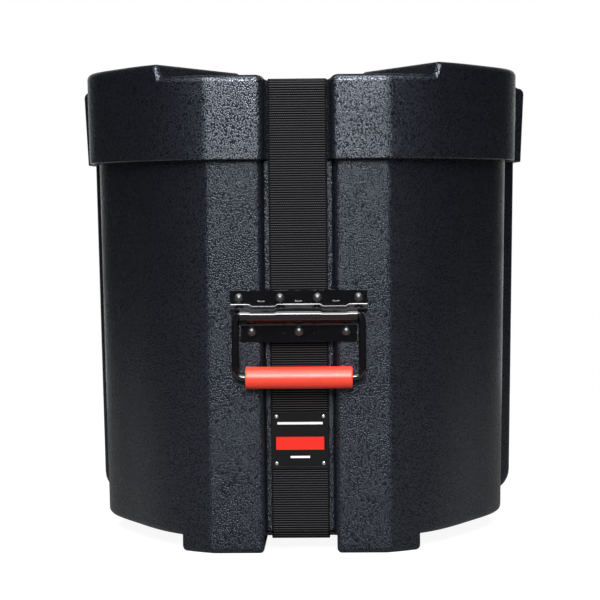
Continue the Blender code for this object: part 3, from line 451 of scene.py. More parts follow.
# tub and lid: plan outlines from front to back, stacked into rings, measured from the drum's axis
caseShape = {
    "axisY": -0.020468,
    "ledge": 0.4422, "rim": 0.3652, "footTop": 0.0150, "mouth": 0.4230,
    "topWall": 0.0045, "wall": 0.0042,
    "draft": math.radians(0.95),
    "tubRadius": 0.2014, "tubWing": 0.2200, "tubBack": 0.2300,
    "lidRadius": 0.2110, "lidWing": 0.2275, "lidBack": 0.2410, "lidFlare": 0.0017, "lidWingFlare": 0.0036,
    "flatHalf": 0.0810, "wingFront": 0.1000, "wingRound": 0.0120, "backRound": 0.0420,
    "lip": 0.0066, "valley": 0.0060, "floorRound": 0.0020, "lidFloorRound": 0.0070,
    "dip": 0.0100, "dipFrom": math.radians(30), "dipTo": math.radians(92),
    "bulge": 0.0018, "bulgeFrom": math.radians(60), "bulgeTo": math.radians(86),
    "tubChannelTop": 0.0325, "tubChannelFoot": 0.0318, "tubChannelDeep": 0.0110, "tubBackDeep": 0.0100,
    "lidChannel": 0.0311, "lidChannelDeep": 0.0156,
    "bottomRound": 0.0050, "wingBottom": 0.0260, "innerRound": 0.0040, "innerFloor": 0.0200,
    "beadHeight": 0.0120, "beadRamp": 0.0050, "beadGap": 0.0006, "beadEdge": 0.0008,
    "lidEdge": 0.0065, "lidInnerEdge": 0.0020, "rimEdge": 0.0007,
    # heights of plain rings, and the shares of the wing's tucked bottom that get one
    "tuckShares": (0.25, 0.32, 0.40, 0.50, 0.62, 0.78, 1.0),
    "tubRings": (0.12, 0.20, 0.28), "lidRings": (0.415, 0.390), "lidInnerRing": 0.400,
    "notch": 0.1300, "notchRound": 0.0090, "waist": 0.0600, "waistY": 0.0100, "waistRound": 0.0150,
    # how far a lobe's outline runs past the corner and past the rim, and where it draws back from the rim
    "lobePast": 0.014, "rimPast": 0.012, "rimPastFrom": 0.050, "rimPastOver": 0.055,
    # distance inside a lobe's outline and its rise there
    "lobeRise": [(-0.0044, 0.0), (-0.0028, 0.0004), (-0.0016, 0.0014), (-0.0008, 0.0028), (0.0008, 0.0085),
                 (0.0017, 0.0104), (0.0029, 0.0116), (0.0045, 0.0122), (0.0062, 0.0123)],
    # distance from the middle of the trough and its depth there
    "trough": [(0.0306, 0.0055), (0.0308, 0.0036), (0.0315, 0.0017), (0.0326, 0.0006), (0.0342, 0.0)],
    "footInner": 0.0338, "footOuter": 0.1110, "footLength": 0.0900, "footRound": 0.0055,
    "footInset": 0.00012, "footRise": 0.014, "footPast": 0.003, "footLow": -0.0002, "mouldPast": 0.0015,
    # columns on each side, and the finer ones beside the lid's notch
    "tubSteps": 52, "lidSteps": 46, "lidSideEnd": math.radians(21), "notchStep": 0.0035, "closestColumns": 0.0015,
    "lobeSteps": 90, "contourStep": 0.006, "troughSteps": 120, "capGap": 0.0006,
}


def cornerArc(before, corner, after, radius, steps):
    corner = Vector(corner)
    back = (Vector(before) - corner).normalized()
    ahead = (Vector(after) - corner).normalized()
    half = back.angle(ahead) / 2
    middle = corner + (back + ahead).normalized() * (radius / math.sin(half))
    start = corner + back * (radius / math.tan(half)) - middle
    end = corner + ahead * (radius / math.tan(half)) - middle
    turn = math.atan2(start.cross(end), start.dot(end))
    return [tuple(middle + Matrix.Rotation(turn * i / steps, 2) @ start) for i in range(steps + 1)]


def shiftCorner(before, here, after, distance, least):
    # one point of a line moved to its left, further where the line bends
    first = (here - before).normalized()
    second = (after - here).normalized()
    side = Vector((-first.y - second.y, first.x + second.x)).normalized()
    lean = max(side.dot(Vector((-first.y, first.x))), least)
    return here + side * (distance / lean)


def insetLoop(points, distance):
    count = len(points)
    around = [[Vector(points[(i + k) % count]) for k in (-1, 0, 1)] for i in range(count)]
    return [tuple(shiftCorner(*three, distance, 0.2)) for three in around]


def frontOf(radius):
    return math.sqrt(radius**2 - caseShape["flatHalf"] ** 2)


def levelOf(radius, wing, back, channel, deep, backDeep, floorRound):
    front = frontOf(radius)
    return {"radius": radius, "front": front, "wing": wing, "back": back, "channel": channel,
            "frontFloor": front - deep, "backFloor": back - backDeep, "floorRound": floorRound}


def tubLevel(z):
    s = caseShape
    spread = (z - s["rim"]) * math.tan(s["draft"])
    radius = s["tubRadius"] + spread
    down = (s["rim"] - z) / (s["rim"] - s["footTop"])
    rise = min(max(s["footTop"] + s["wingBottom"] - z, 0), s["wingBottom"])
    tuck = s["wingBottom"] - math.sqrt(s["wingBottom"] ** 2 - rise**2)
    channel = s["tubChannelTop"] + (s["tubChannelFoot"] - s["tubChannelTop"]) * down
    return levelOf(radius, s["tubWing"] + spread - tuck, s["tubBack"] + spread, channel,
                   s["tubChannelDeep"], s["tubBackDeep"], s["floorRound"])


def lidLevel(z):
    s = caseShape
    up = (z - s["rim"]) / (s["ledge"] - s["rim"])
    flare = s["lidFlare"] * up
    return levelOf(s["lidRadius"] + flare, s["lidWing"] + s["lidWingFlare"] * up, s["lidBack"] + flare,
                   s["lidChannel"], s["lidChannelDeep"], s["lidChannelDeep"], s["lidFloorRound"])


def beadLevel(z):
    # the tub's mouth stands out to just inside the lid's wall, but keeps the tub's channels
    lid = lidLevel(caseShape["rim"])
    stepIn = caseShape["wall"] + caseShape["beadGap"]
    radius, wing, back = (lid[key] - stepIn for key in ("radius", "wing", "back"))
    return tubLevel(z) | {"radius": radius, "front": frontOf(radius), "wing": wing, "back": back}


def clampShare(value, low, high):
    return min(max((value - low) / (high - low), 0), 1)


def sideReach(angle, radius):
    s = caseShape
    turn = angle + math.pi / 2
    share = clampShare(turn, s["dipFrom"], s["dipTo"])
    spread = clampShare(turn, s["bulgeFrom"], s["bulgeTo"])
    return radius - s["dip"] * math.sin(math.pi * share) ** 2 + s["bulge"] * math.sin(math.pi / 2 * spread) ** 2


def sidePoints(angles, radius):
    reaches = [sideReach(angle, radius) for angle in angles]
    return [(reach * math.cos(angle), reach * math.sin(angle)) for angle, reach in zip(angles, reaches)]


def planOutline(level, shares):
    # strap channel, flat, round side, wing, square back and rear channel, then mirrored
    s = caseShape
    radius, front, wing, back = (level[key] for key in ("radius", "front", "wing", "back"))
    channel, frontFloor, backFloor = (level[key] for key in ("channel", "frontFloor", "backFloor"))
    stepBack = (s["lidWing"] - wing) * math.tan(math.pi / 8)
    corner = Vector((wing, s["wingFront"] + stepBack))
    towards = Vector((-1, -1)).normalized()
    along = corner.dot(towards)
    reach = -along - math.sqrt(along**2 - corner.length_squared + (radius + s["bulge"]) ** 2)
    valley = corner + towards * reach
    half = cornerArc((0, -frontFloor), (channel, -frontFloor), (channel, -front), level["floorRound"], 3)
    half += cornerArc((channel, -frontFloor), (channel, -front), (s["flatHalf"], -front), s["lip"], 8)
    start = math.atan2(-front, s["flatHalf"])
    tangent = Vector((-valley.y, valley.x)).normalized()
    bend = cornerArc(valley - tangent, valley, corner, s["valley"], 5)
    end = math.atan2(bend[0][1], bend[0][0])
    half += sidePoints([start + (end - start) * share for share in shares], radius)
    half += bend
    half += cornerArc(valley, corner, (wing, back), s["wingRound"], 8)
    half += cornerArc(corner, (wing, back), (0, back), s["backRound"], 12)
    half += cornerArc((wing, back), (channel, back), (channel, backFloor), s["lip"], 6)
    half += cornerArc((channel, back), (channel, backFloor), (0, backFloor), level["floorRound"], 3)
    return half + [(-x, y) for x, y in reversed(half)]


def planGap(x, y, loop):
    # how far a point lies inside a loop, negative outside
    best, inside = 1.0, False
    for (x0, y0), (x1, y1) in zip(loop, loop[1:] + loop[:1]):
        dx, dy = x1 - x0, y1 - y0
        share = min(max(((x - x0) * dx + (y - y0) * dy) / (dx * dx + dy * dy), 0), 1)
        best = min(best, math.hypot(x - x0 - share * dx, y - y0 - share * dy))
        if (y0 > y) != (y1 > y) and x < x0 + dx * (y - y0) / dy:
            inside = not inside
    return best if inside else -best


def fromTable(table, value):
    if value <= table[0][0]:
        return table[0][1]
    for (a, low), (b, high) in zip(table, table[1:]):
        if value <= b:
            return low + (high - low) * (value - a) / (b - a)
    return table[-1][1]


def lobePlan():
    # the right lobe: hourglass side towards the trough, then round the rim; it runs past the rim at the front
    s = caseShape
    radius = lidLevel(s["ledge"])["radius"]
    x, y = s["notch"], math.sqrt(radius**2 - s["notch"] ** 2)
    waist = [(s["waist"], s["waistY"]), (s["waist"], -s["waistY"])]
    line = (Vector((x, -y)) - Vector(waist[1])).normalized()
    farPoint = Vector((x, -y)) + line * s["lobePast"]
    first = math.atan2(farPoint.y, farPoint.x)
    backBend = cornerArc((x + y, y - x), (x, y), waist[0], s["notchRound"], 6)
    last = math.atan2(backBend[0][1], backBend[0][0])
    points = [tuple(farPoint)]
    for i in range(1, s["lobeSteps"]):
        angle = first + (last - first) * i / s["lobeSteps"]
        length = sideReach(angle, radius)
        ease = min(max((length * math.sin(angle) - s["rimPastFrom"]) / s["rimPastOver"], 0), 1)
        length += s["rimPast"] * (1 - ease * ease * (3 - 2 * ease))
        points.append((length * math.cos(angle), length * math.sin(angle)))
    points += backBend
    points += cornerArc((x, y), waist[0], waist[1], s["waistRound"], 8)
    points += cornerArc(waist[0], waist[1], (x, -y), s["waistRound"], 8)
    return points


rightLobe = lobePlan()


def topHeight(x, y):
    s = caseShape
    rise = fromTable(s["lobeRise"], planGap(abs(x), y, rightLobe))
    return s["ledge"] + rise - fromTable(s["trough"], abs(x))


def growRings(name, rings):
    # a circle takes the first ring's places, and every extrusion the next one's
    piece = addShape(name, bpy.ops.mesh.primitive_circle_add, vertices=len(rings[0]), radius=1)
    for vert, place in zip(piece.data.vertices, rings[0]):
        vert.co = place
    startEdit(piece)
    bpy.ops.mesh.select_mode(type="EDGE")
    selectMesh()
    order = [tuple(vert.co) for vert in piece.data.vertices]
    for ring in rings[1:]:
        extrudeEdges()
        shape = bmesh.from_edit_mesh(piece.data)
        fresh = {tuple(vert.co): vert for vert in shape.verts if vert.select}
        row = [fresh[key] for key in order]
        for vert, place in zip(row, ring):
            vert.co = place
        order = [tuple(vert.co) for vert in row]
        bmesh.update_edit_mesh(piece.data)
    endEdit()
    return piece


def wallRing(levelAt, inset, z, shares):
    return [(x, y, z) for x, y in insetLoop(planOutline(levelAt(z), shares), inset)]


def turnRings(levelAt, inset, flatZ, radius, steps, shares):
    # from a flat floor at flatZ round into the wall, the floor's ring first
    rings = []
    for i in range(steps + 1):
        angle = math.pi / 2 * (1 - i / steps)
        z = flatZ + radius * (1 - math.sin(angle))
        rings.append(wallRing(levelAt, inset + radius * (1 - math.cos(angle)), z, shares))
    return rings


def closeEnds(piece):
    startEdit(piece)
    shape = bmesh.from_edit_mesh(piece.data)
    heights = {round(edge.verts[0].co.z, 5) for edge in shape.edges if edge.is_boundary}
    for height in sorted(heights):
        pick(piece, "EDGE", lambda edge: edge.is_boundary and abs(edge.verts[0].co.z - height) < 0.00002)
        bpy.ops.mesh.edge_face_add()
    endOutward()


def makeFeet(shares):
    # four boxes cut to a mould that runs down from the tub's own walls
    s = caseShape
    rings = turnRings(tubLevel, s["footInset"], 0, s["footRound"], 6, shares)
    rings.append(wallRing(tubLevel, s["footInset"], s["footTop"] + s["bottomRound"] + s["mouldPast"], shares))
    mould = growRings("footMould", rings)
    closeEnds(mould)
    front = tubLevel(s["footTop"])["front"] + s["footPast"]
    back = tubLevel(s["footTop"])["back"] + s["footPast"]
    boxes = []
    for near, far in ((-front, s["footLength"] - front), (back - s["footLength"], back)):
        for side in (-1, 1):
            left, right = sorted((side * s["footInner"], side * s["footOuter"]))
            box = addCube("footBox", (left, near, s["footLow"]), (right, far, s["footTop"] + s["footRise"]))
            startEdit(box)
            pick(box, "EDGE", lambda edge: min(vert.co.z for vert in edge.verts) < s["footTop"])
            bevelEdges(s["footRound"], 6)
            endEdit()
            boxes.append(box)
    pickOnly(boxes[0])
    for box in boxes:
        box.select_set(True)
    bpy.ops.object.join()
    combineWith(boxes[0], mould, "INTERSECT")
    return boxes[0]


def makeTub():
    s = caseShape
    shares = [i / s["tubSteps"] for i in range(s["tubSteps"])]
    tuckTop = s["footTop"] + s["wingBottom"]
    beadLow = s["mouth"] - s["beadHeight"]
    rings = turnRings(tubLevel, 0, s["footTop"], s["bottomRound"], 6, shares)
    rows = [(tubLevel, 0, s["footTop"] + s["wingBottom"] * share) for share in s["tuckShares"]]
    rows += [(tubLevel, 0, z) for z in (*s["tubRings"], beadLow - s["beadRamp"])]
    rows += [
        (beadLevel, 0, beadLow), (beadLevel, 0, s["mouth"] - s["beadEdge"]), (beadLevel, s["beadEdge"], s["mouth"]),
        (tubLevel, s["wall"] - s["beadEdge"], s["mouth"]), (tubLevel, s["wall"], s["mouth"] - s["beadEdge"]),
        (tubLevel, s["wall"], tuckTop),
    ]
    rings += [wallRing(levelAt, inset, z, shares) for levelAt, inset, z in rows]
    rings += reversed(turnRings(tubLevel, s["wall"], s["innerFloor"], s["innerRound"], 4, shares))
    tub = growRings("tubShell", rings)
    closeEnds(tub)
    combineWith(tub, makeFeet(shares), "UNION")
    smoothPiece(tub, 32)
    placePiece(tub, Matrix.Translation((0, s["axisY"], 0)))
    feet = [f"foot_{end}_{side}" for end in ("front", "rear") for side in ("left", "right")]
    handOver(tub, "case", tubPlastic, "shell", "body_shell", *feet)


def contourLines(loop):
    # the lobes' and the trough's own contour lines inside the rim, as points and as pairs of their numbers
    s = caseShape
    spots, lines = [Vector(point) for point in loop], []

    def addLine(points, closed=False):
        numbers = []
        for x, y in points:
            inside = planGap(x, y, loop) > s["capGap"]
            if inside:
                spots.append(Vector((x, y)))
            numbers.append(len(spots) - 1 if inside else None)
        if closed:
            numbers.append(numbers[0])
        lines.extend(pair for pair in zip(numbers, numbers[1:]) if None not in pair)

    def fill(points):
        dense = []
        for a, b in zip(points, points[1:] + points[:1]):
            steps = max(1, round((Vector(b) - Vector(a)).length / s["contourStep"]))
            dense += [tuple(Vector(a).lerp(Vector(b), i / steps)) for i in range(steps)]
        return dense

    front, back = -lidLevel(s["ledge"])["front"], lidLevel(s["ledge"])["back"]
    count = s["troughSteps"]
    for side in (-1, 1):
        for gap, _ in s["lobeRise"]:
            addLine([(side * x, y) for x, y in fill(insetLoop(rightLobe, gap))], closed=True)
        for x, _ in s["trough"]:
            addLine([(side * x, front + (back - front) * i / count) for i in range(count + 1)])
    return spots, lines


def lidCap(piece, ring, drop):
    # the top inside the last ring, in faces that follow the contour lines
    loop = [(x, y) for x, y, z in ring]
    spots, lines = contourLines(loop)
    result = delaunay_2d_cdt(spots, lines, [list(range(len(loop)))], 1, 1e-7)
    startEdit(piece)
    shape = bmesh.from_edit_mesh(piece.data)
    onBoundary = {tuple(round(c, 6) for c in vert.co): vert for vert in shape.verts if vert.is_boundary}
    made = []
    for spot, sources in zip(result[0], result[3]):
        onRim = [i for i in sources if i < len(loop)]
        if onRim:
            made.append(onBoundary[tuple(round(c, 6) for c in Vector(ring[onRim[0]]))])
        else:
            made.append(shape.verts.new((spot.x, spot.y, topHeight(spot.x, spot.y) - drop)))
    for face in result[2]:
        corners = [made[i] for i in face]
        if len(set(corners)) == len(corners):
            shape.faces.new(corners)
    bmesh.update_edit_mesh(piece.data)
    endEdit()


def makeLid():
    s = caseShape
    level = lidLevel(s["ledge"])
    corner = math.atan2(-math.sqrt(level["radius"] ** 2 - s["notch"] ** 2), s["notch"])
    start = math.atan2(-level["front"], s["flatHalf"])
    notchShare = (corner - start) / (s["lidSideEnd"] - start)
    shares = [i / s["lidSteps"] for i in range(s["lidSteps"])]
    shares = sorted(shares + [notchShare + s["notchStep"] * i for i in range(-10, 11)])
    shares = [share for i, share in enumerate(shares) if i == 0 or share - shares[i - 1] > s["closestColumns"]]

    def crown(inset, drop, radius, steps):
        # each point of the last ring gives the height that its column turns over at
        tops = [topHeight(x, y) - drop for x, y in insetLoop(planOutline(level, shares), inset + radius)]
        rings = []
        for i in range(steps + 1):
            angle = math.pi / 2 * (1 - i / steps)
            fall = radius * (1 - math.sin(angle))
            flat = wallRing(lidLevel, inset + radius * (1 - math.cos(angle)), s["ledge"] - fall, shares)
            rings.append([(x, y, top - fall) for (x, y, z), top in zip(flat, tops)])
        return rings

    outer = crown(0, 0, s["lidEdge"], 8)
    inner = crown(s["wall"], s["topWall"], s["lidInnerEdge"], 3)
    rimTop = s["rim"] + s["rimEdge"]
    rows = [(0, z) for z in (*s["lidRings"], rimTop)]
    rows += [(s["rimEdge"], s["rim"]), (s["wall"] - s["rimEdge"], s["rim"])]
    rows += [(s["wall"], rimTop), (s["wall"], s["lidInnerRing"])]
    rings = outer + [wallRing(lidLevel, inset, z, shares) for inset, z in rows] + inner[::-1]
    lid = growRings("lidShell", rings)
    lidCap(lid, outer[0], 0)
    lidCap(lid, inner[0], s["topWall"])
    startEdit(lid)
    endOutward()
    smoothPiece(lid, 42)
    placePiece(lid, Matrix.Translation((0, s["axisY"], 0)))
    handOver(lid, "lid", lidPlastic, "shell", "lid_shell")


makeTub()
print("tub done")
makeLid()
print("lid done")


# webbing
webbing = {
    "halfWidth": 0.0270,
    "thickness": 0.0022,
    "edgeRound": 0.0007,
    "bendSteps": 7,
    "stretchStep": 0.012,  # longest step in the two runs that stretch with the lid
    # inner faces as (y, z), from the part's own places
    "lower": [(0.19767, 0.2353), (0.19403, 0.0147), (-0.18781, 0.0147), (-0.1918, 0.2353)],
    "lowerRounds": [0.0050, 0.0050],
    "frontRun": [(-0.1918, 0.2353), (-0.2000, 0.3652)],
    "rearRun": [(0.19767, 0.2353), (0.20523, 0.3652)],
    "lidFront": [(-0.2000, 0.3652), (-0.20171, 0.4370), (0.00523, 0.4370), (0.00523, 0.4464),
                 (-0.00257, 0.4464), (-0.00887, 0.4420), (-0.09887, 0.4420)],
    "lidRear": [(0.20523, 0.3652), (0.20682, 0.4370), (0.07633, 0.4370), (0.07633, 0.4464),
                (0.08413, 0.4464), (0.09043, 0.4420), (0.11043, 0.4420)],
    "lidFrontRounds": [0.0054, 0.0031, 0.0031, 0.0020, 0.0040],
    "lidRearRounds": [0.0054, 0.0031, 0.0031, 0.0020, 0.0040],
}


def centrePath(key, side=1):
    # rounded at its corners, then moved out by half the thickness
    corners, rounds = webbing[key], webbing.get(key + "Rounds", [])
    points = [Vector(corners[0])]
    for before, corner, after, radius in zip(corners, corners[1:], corners[2:], rounds):
        points += [Vector(point) for point in cornerArc(before, corner, after, radius, webbing["bendSteps"])]
    points.append(Vector(corners[-1]))
    befores = [points[0] * 2 - points[1]] + points[:-1]
    afters = points[1:] + [points[-1] * 2 - points[-2]]
    distance = side * webbing["thickness"] / 2
    return [shiftCorner(*three, distance, 0.4) for three in zip(befores, points, afters)]


def denser(points):
    filled = [points[0]]
    for a, b in zip(points, points[1:]):
        count = max(1, math.ceil((b - a).length / webbing["stretchStep"]))
        filled += [a + (b - a) * (i / count) for i in range(1, count + 1)]
    return filled


def drawWeave(strap, points, lengths):
    # the weave map: across the strap, and along it from where the strap starts
    spots = []
    for vert in strap.data.vertices:
        here = Vector((vert.co.y, vert.co.z))
        best = None
        for i, (a, b) in enumerate(zip(points, points[1:])):
            along = b - a
            share = min(max((here - a).dot(along) / along.length_squared, 0), 1)
            gap = (a + along * share - here).length
            if best is None or gap < best[0] - 1e-7:
                best = (gap, lengths[i] + share * along.length)
        spots.append(best[1])
    layer = strap.data.uv_layers.new(name="weave")
    for loop in strap.data.loops:
        layer.data[loop.index].uv = (strap.data.vertices[loop.vertex_index].co.x, spots[loop.vertex_index])


def weaveAlong(name, node, points, body=None, startLength=0.0):
    first = (points[1] - points[0]).normalized()
    heading = math.atan2(first.y, first.x)
    strap = addShape(name, bpy.ops.mesh.primitive_plane_add, size=1)
    startEdit(strap, "SELECT")
    bpy.ops.transform.resize(value=(2 * webbing["halfWidth"], webbing["thickness"], 1))
    bpy.ops.mesh.bevel(offset=webbing["edgeRound"], segments=3, affect="VERTICES", offset_type="OFFSET")
    endEdit()
    # the section stands across the path: its short side points to the strap's outer face
    stand = Matrix.Translation((0, points[0].x, points[0].y)) @ Matrix.Rotation(heading - math.pi / 2, 4, "X")
    placePiece(strap, stand)
    startEdit(strap, "SELECT")
    for i in range(1, len(points)):
        step = points[i] - points[i - 1]
        extrudeFaces((0, step.x, step.y))
        middle = step
        if i + 1 < len(points):
            middle = step.normalized() + (points[i + 1] - points[i]).normalized()
        wanted = math.atan2(middle.y, middle.x)
        turn = (wanted - heading + math.pi) % (2 * math.pi) - math.pi
        heading = wanted
        if abs(turn) > 1e-6:
            centre = (0, points[i].x, points[i].y)
            bpy.ops.transform.rotate(value=-turn, orient_axis="X", orient_type="GLOBAL", center_override=centre)
    endOutward()
    lengths = [startLength]
    for a, b in zip(points, points[1:]):
        lengths.append(lengths[-1] + (b - a).length)
    drawWeave(strap, points, lengths)
    smoothPiece(strap, 45)
    handOver(strap, body, blackWebbing, "webbing", node)
    return strap, lengths[-1]


_, lowerLength = weaveAlong("webbingLower", "strap_lower", centrePath("lower"), "case")
frontPath, rearPath = denser(centrePath("frontRun")), denser(centrePath("rearRun", -1))
frontStrap, frontRim = weaveAlong("webbingFrontRun", "strap_front_run", frontPath, None, lowerLength)
weaveAlong("webbingLidFront", "strap_lid_front", centrePath("lidFront"), "lid", frontRim)
rearStrap, rearRim = weaveAlong("webbingRearRun", "strap_rear_run", rearPath)
weaveAlong("webbingLidRear", "strap_lid_rear", centrePath("lidRear", -1), "lid", rearRim)
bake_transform(frontStrap)
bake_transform(rearStrap)
print("webbing done")


# handle
handle = {
    "seat": (0, -0.20229, 0.2236), "seatGap": 0.0003, "tilt": math.radians(1.0406), "swing": math.radians(4.8048),
    "halfWidth": 0.0632, "barrelHalf": 0.0540, "flangeHalf": 0.0534, "sheet": 0.0016, "edge": 0.00030,
    "axisOut": 0.0059, "wideLow": 0.0052, "drop": 0.0260,
    # the sheet from top to bottom: heights in the upper flange, the fold as (out of the flange, height), the roll
    # round the bail as (out of the bail's axis, height), and the fold back into the lower flange
    "upper": [0.0216, 0.0204, 0.0104, 0.0086],
    "fold": [(0.0005, 0.0080), (0.0012, 0.0077), (0.0046, 0.0069)],
    "roll": [(0.0036, 0.0053), (0.0050, 0.0043), (0.0063, 0.0033), (0.0073, 0.0023), (0.0080, 0.0012), (0.0083, 0.0001),
             (0.0083, -0.0011), (0.0080, -0.0025), (0.0073, -0.0041), (0.0060, -0.0056), (0.0042, -0.0069),
             (0.0021, -0.0077), (-0.0004, -0.0080)],
    "foldBack": [(0.0012, -0.0086), (0.0002, -0.0096), (0.0, -0.0110)],
    # columns of the left half: plain edges, then the dipped stretch
    "columns": [-0.0632, -0.0617, -0.0585, -0.0540, -0.0500, -0.0462, -0.0432, -0.0225, -0.0195, -0.0100],
    "dipFrom": 0.0205, "dipTo": 0.0452, "dipLow": -0.001, "dipHigh": 0.0100, "dipOver": 0.0085, "dip": 0.0016,
    "scallops": (-0.0342, 0.0, 0.0342), "scallopRadius": 0.0070, "scallopLow": 0.0112, "scallopSquash": 0.62,
    "scallopIn": -0.0010, "scallopOut": 0.0022, "scallopDeep": 0.0018, "scallopUp": 0.012,
    "slits": (-0.0138, 0.0138), "slitHalf": 0.0005, "slitLow": -0.0185, "slitHigh": -0.0095, "slitDeep": 0.0009,
    "endsBelow": -0.0095,  # under this height the sheet is as wide as the lower flange
    "bailHalf": 0.0583, "bailDrop": 0.0585, "bailRadius": 0.0034, "bailCorner": 0.0076,
    "gripRadius": 0.0102, "gripHalf": 0.0492, "gripRound": 0.0014, "gripHollow": 0.004, "gripGap": 0.0004,
    "upperRivets": (-0.0551, -0.0172, 0.0172, 0.0551), "upperRise": 0.0144,
    "lowerRivets": (-0.0436, 0.0, 0.0436), "lowerDrop": 0.0165,
}
flangeY = -handle["seatGap"] - handle["sheet"]
seatPlace = Matrix.Translation(handle["seat"]) @ Matrix.Rotation(handle["tilt"], 4, "X")
axisPlace = (
    seatPlace @ Matrix.Translation((0, -handle["axisOut"], 0)) @ Matrix.Rotation(-handle["swing"], 4, "X")
)


def bendSheet(bracket):
    # one row of edges is drawn down through the flange, the fold and the roll
    h = handle
    rows = [(flangeY, z) for z in h["upper"]] + [(flangeY - out, z) for out, z in h["fold"]]
    rows += [(-h["axisOut"] - out, z) for out, z in h["roll"]]
    rows += [(flangeY - out, z) for out, z in h["foldBack"]] + [(flangeY, -h["drop"])]
    columns = h["columns"] + [0.0] + [-x for x in reversed(h["columns"])]
    pick(bracket, "VERT", lambda vert: vert.co.y > 0)
    bpy.ops.mesh.delete(type="VERT")
    shape = bmesh.from_edit_mesh(bracket.data)
    for vert, x in zip(sorted(shape.verts, key=lambda v: v.co.x), columns):
        vert.co = (x, *rows[0])
    bmesh.update_edit_mesh(bracket.data)
    bpy.ops.mesh.select_mode(type="EDGE")
    selectMesh()
    for (y0, z0), (y1, z1) in zip(rows, rows[1:]):
        if z1 < h["wideLow"] <= z0:
            # lower down the roll is only as wide as the barrel, clear of the bail when it swings up
            shape = bmesh.from_edit_mesh(bracket.data)
            for edge in shape.edges:
                if edge.select and max(abs(v.co.x) for v in edge.verts) > h["barrelHalf"] + 1e-5:
                    edge.select_set(False)
            bmesh.update_edit_mesh(bracket.data)
        extrudeEdges((0, y1 - y0, z1 - z0))
    shape = bmesh.from_edit_mesh(bracket.data)
    for vert in shape.verts:
        # two dips in the fold and the upper roll, and slanted ends below the barrel
        if h["dipFrom"] < abs(vert.co.x) < h["dipTo"] and h["dipLow"] < vert.co.z < h["dipHigh"]:
            vert.co.z -= h["dip"] * min((vert.co.z - h["dipLow"]) / h["dipOver"], 1)
        if vert.co.z < h["endsBelow"] and abs(vert.co.x) > h["flangeHalf"]:
            vert.co.x = math.copysign(h["flangeHalf"], vert.co.x)
    bmesh.update_edit_mesh(bracket.data)
    endOutward()


def scallopTool(middle):
    # half a flat cone that runs on upwards, for a half-moon open at the flange's top edge
    h = handle
    radius, squash = h["scallopRadius"], h["scallopSquash"]
    middleZ = h["scallopLow"] + radius * squash
    cutter = addShape(
        "scallop", bpy.ops.mesh.primitive_cone_add, (1, squash, 1), vertices=48, radius1=radius + h["scallopIn"],
        radius2=radius + h["scallopOut"], depth=h["scallopDeep"], location=(middle, flangeY, middleZ),
        rotation=(math.pi / 2, 0, 0),
    )
    startEdit(cutter)
    pick(cutter, "VERT", lambda vert: vert.co.z > middleZ + 1e-6)
    shape = bmesh.from_edit_mesh(cutter.data)
    for vert in shape.verts:
        if vert.select:
            reach = radius + (h["scallopOut"] if vert.co.y < flangeY else h["scallopIn"])
            vert.co.z += h["scallopUp"]
            vert.co.x = middle + math.copysign(reach, vert.co.x - middle)
    bmesh.update_edit_mesh(cutter.data)
    selectMesh()
    bpy.ops.mesh.remove_doubles(threshold=0.00001)
    endOutward()
    return cutter


def makeBracket():
    h = handle
    parts = 2 * len(h["columns"])
    bracket = addShape(
        "handleBracket", bpy.ops.mesh.primitive_grid_add, x_subdivisions=parts, y_subdivisions=1, size=1
    )
    startEdit(bracket)
    bendSheet(bracket)
    facesOut = sum(face.normal.y for face in bracket.data.polygons) < 0
    applyModifier(bracket, "SOLIDIFY", thickness=h["sheet"], offset=-1 if facesOut else 1, use_even_offset=True)
    startEdit(bracket)
    endOutward()
    for middle in h["scallops"]:
        combineWith(bracket, scallopTool(middle), "DIFFERENCE")
    for x in h["slits"]:
        low = (x - h["slitHalf"], flangeY - h["sheet"], h["slitLow"])
        high = (x + h["slitHalf"], flangeY + h["slitDeep"], h["slitHigh"])
        combineWith(bracket, addCube("slit", low, high), "DIFFERENCE")
    softenEdges(bracket, h["edge"], 48)
    smoothPiece(bracket, 40)
    placePiece(bracket, seatPlace)
    handOver(bracket, "case", blackEnamel, "enamel", "handle_bracket")


def makeBail():
    half, drop = handle["bailHalf"], handle["bailDrop"]
    corner, wire = handle["bailCorner"], handle["bailRadius"]
    bail = addShape(
        "handleBail", bpy.ops.mesh.primitive_circle_add, vertices=20, radius=wire, location=(-half, 0, -corner)
    )
    startEdit(bail)
    bpy.ops.mesh.select_mode(type="EDGE")
    selectMesh()
    # straight runs, and the centre of the corner after each
    runs = [
        ((0, 0, -(drop - 2 * corner)), (-half + corner, 0, -drop + corner)),
        ((2 * (half - corner), 0, 0), (half - corner, 0, -drop + corner)),
        ((0, 0, drop - 2 * corner), (half - corner, 0, -corner)),
        ((-2 * (half - corner), 0, 0), (-half + corner, 0, -corner)),
    ]
    steps = 6
    for run, centre in runs:
        for _ in range(steps):
            extrudeEdges(tuple(v / steps for v in run))
        bpy.ops.mesh.spin(steps=10, angle=math.pi / 2, center=centre, axis=(0, 1, 0))
    selectMesh()
    bpy.ops.mesh.remove_doubles(threshold=0.00002)
    endOutward()
    smoothPiece(bail, 60, weighted=False)
    placePiece(bail, axisPlace)
    handOver(bail, "bail", blackEnamel, "enamel", "handle_bail")


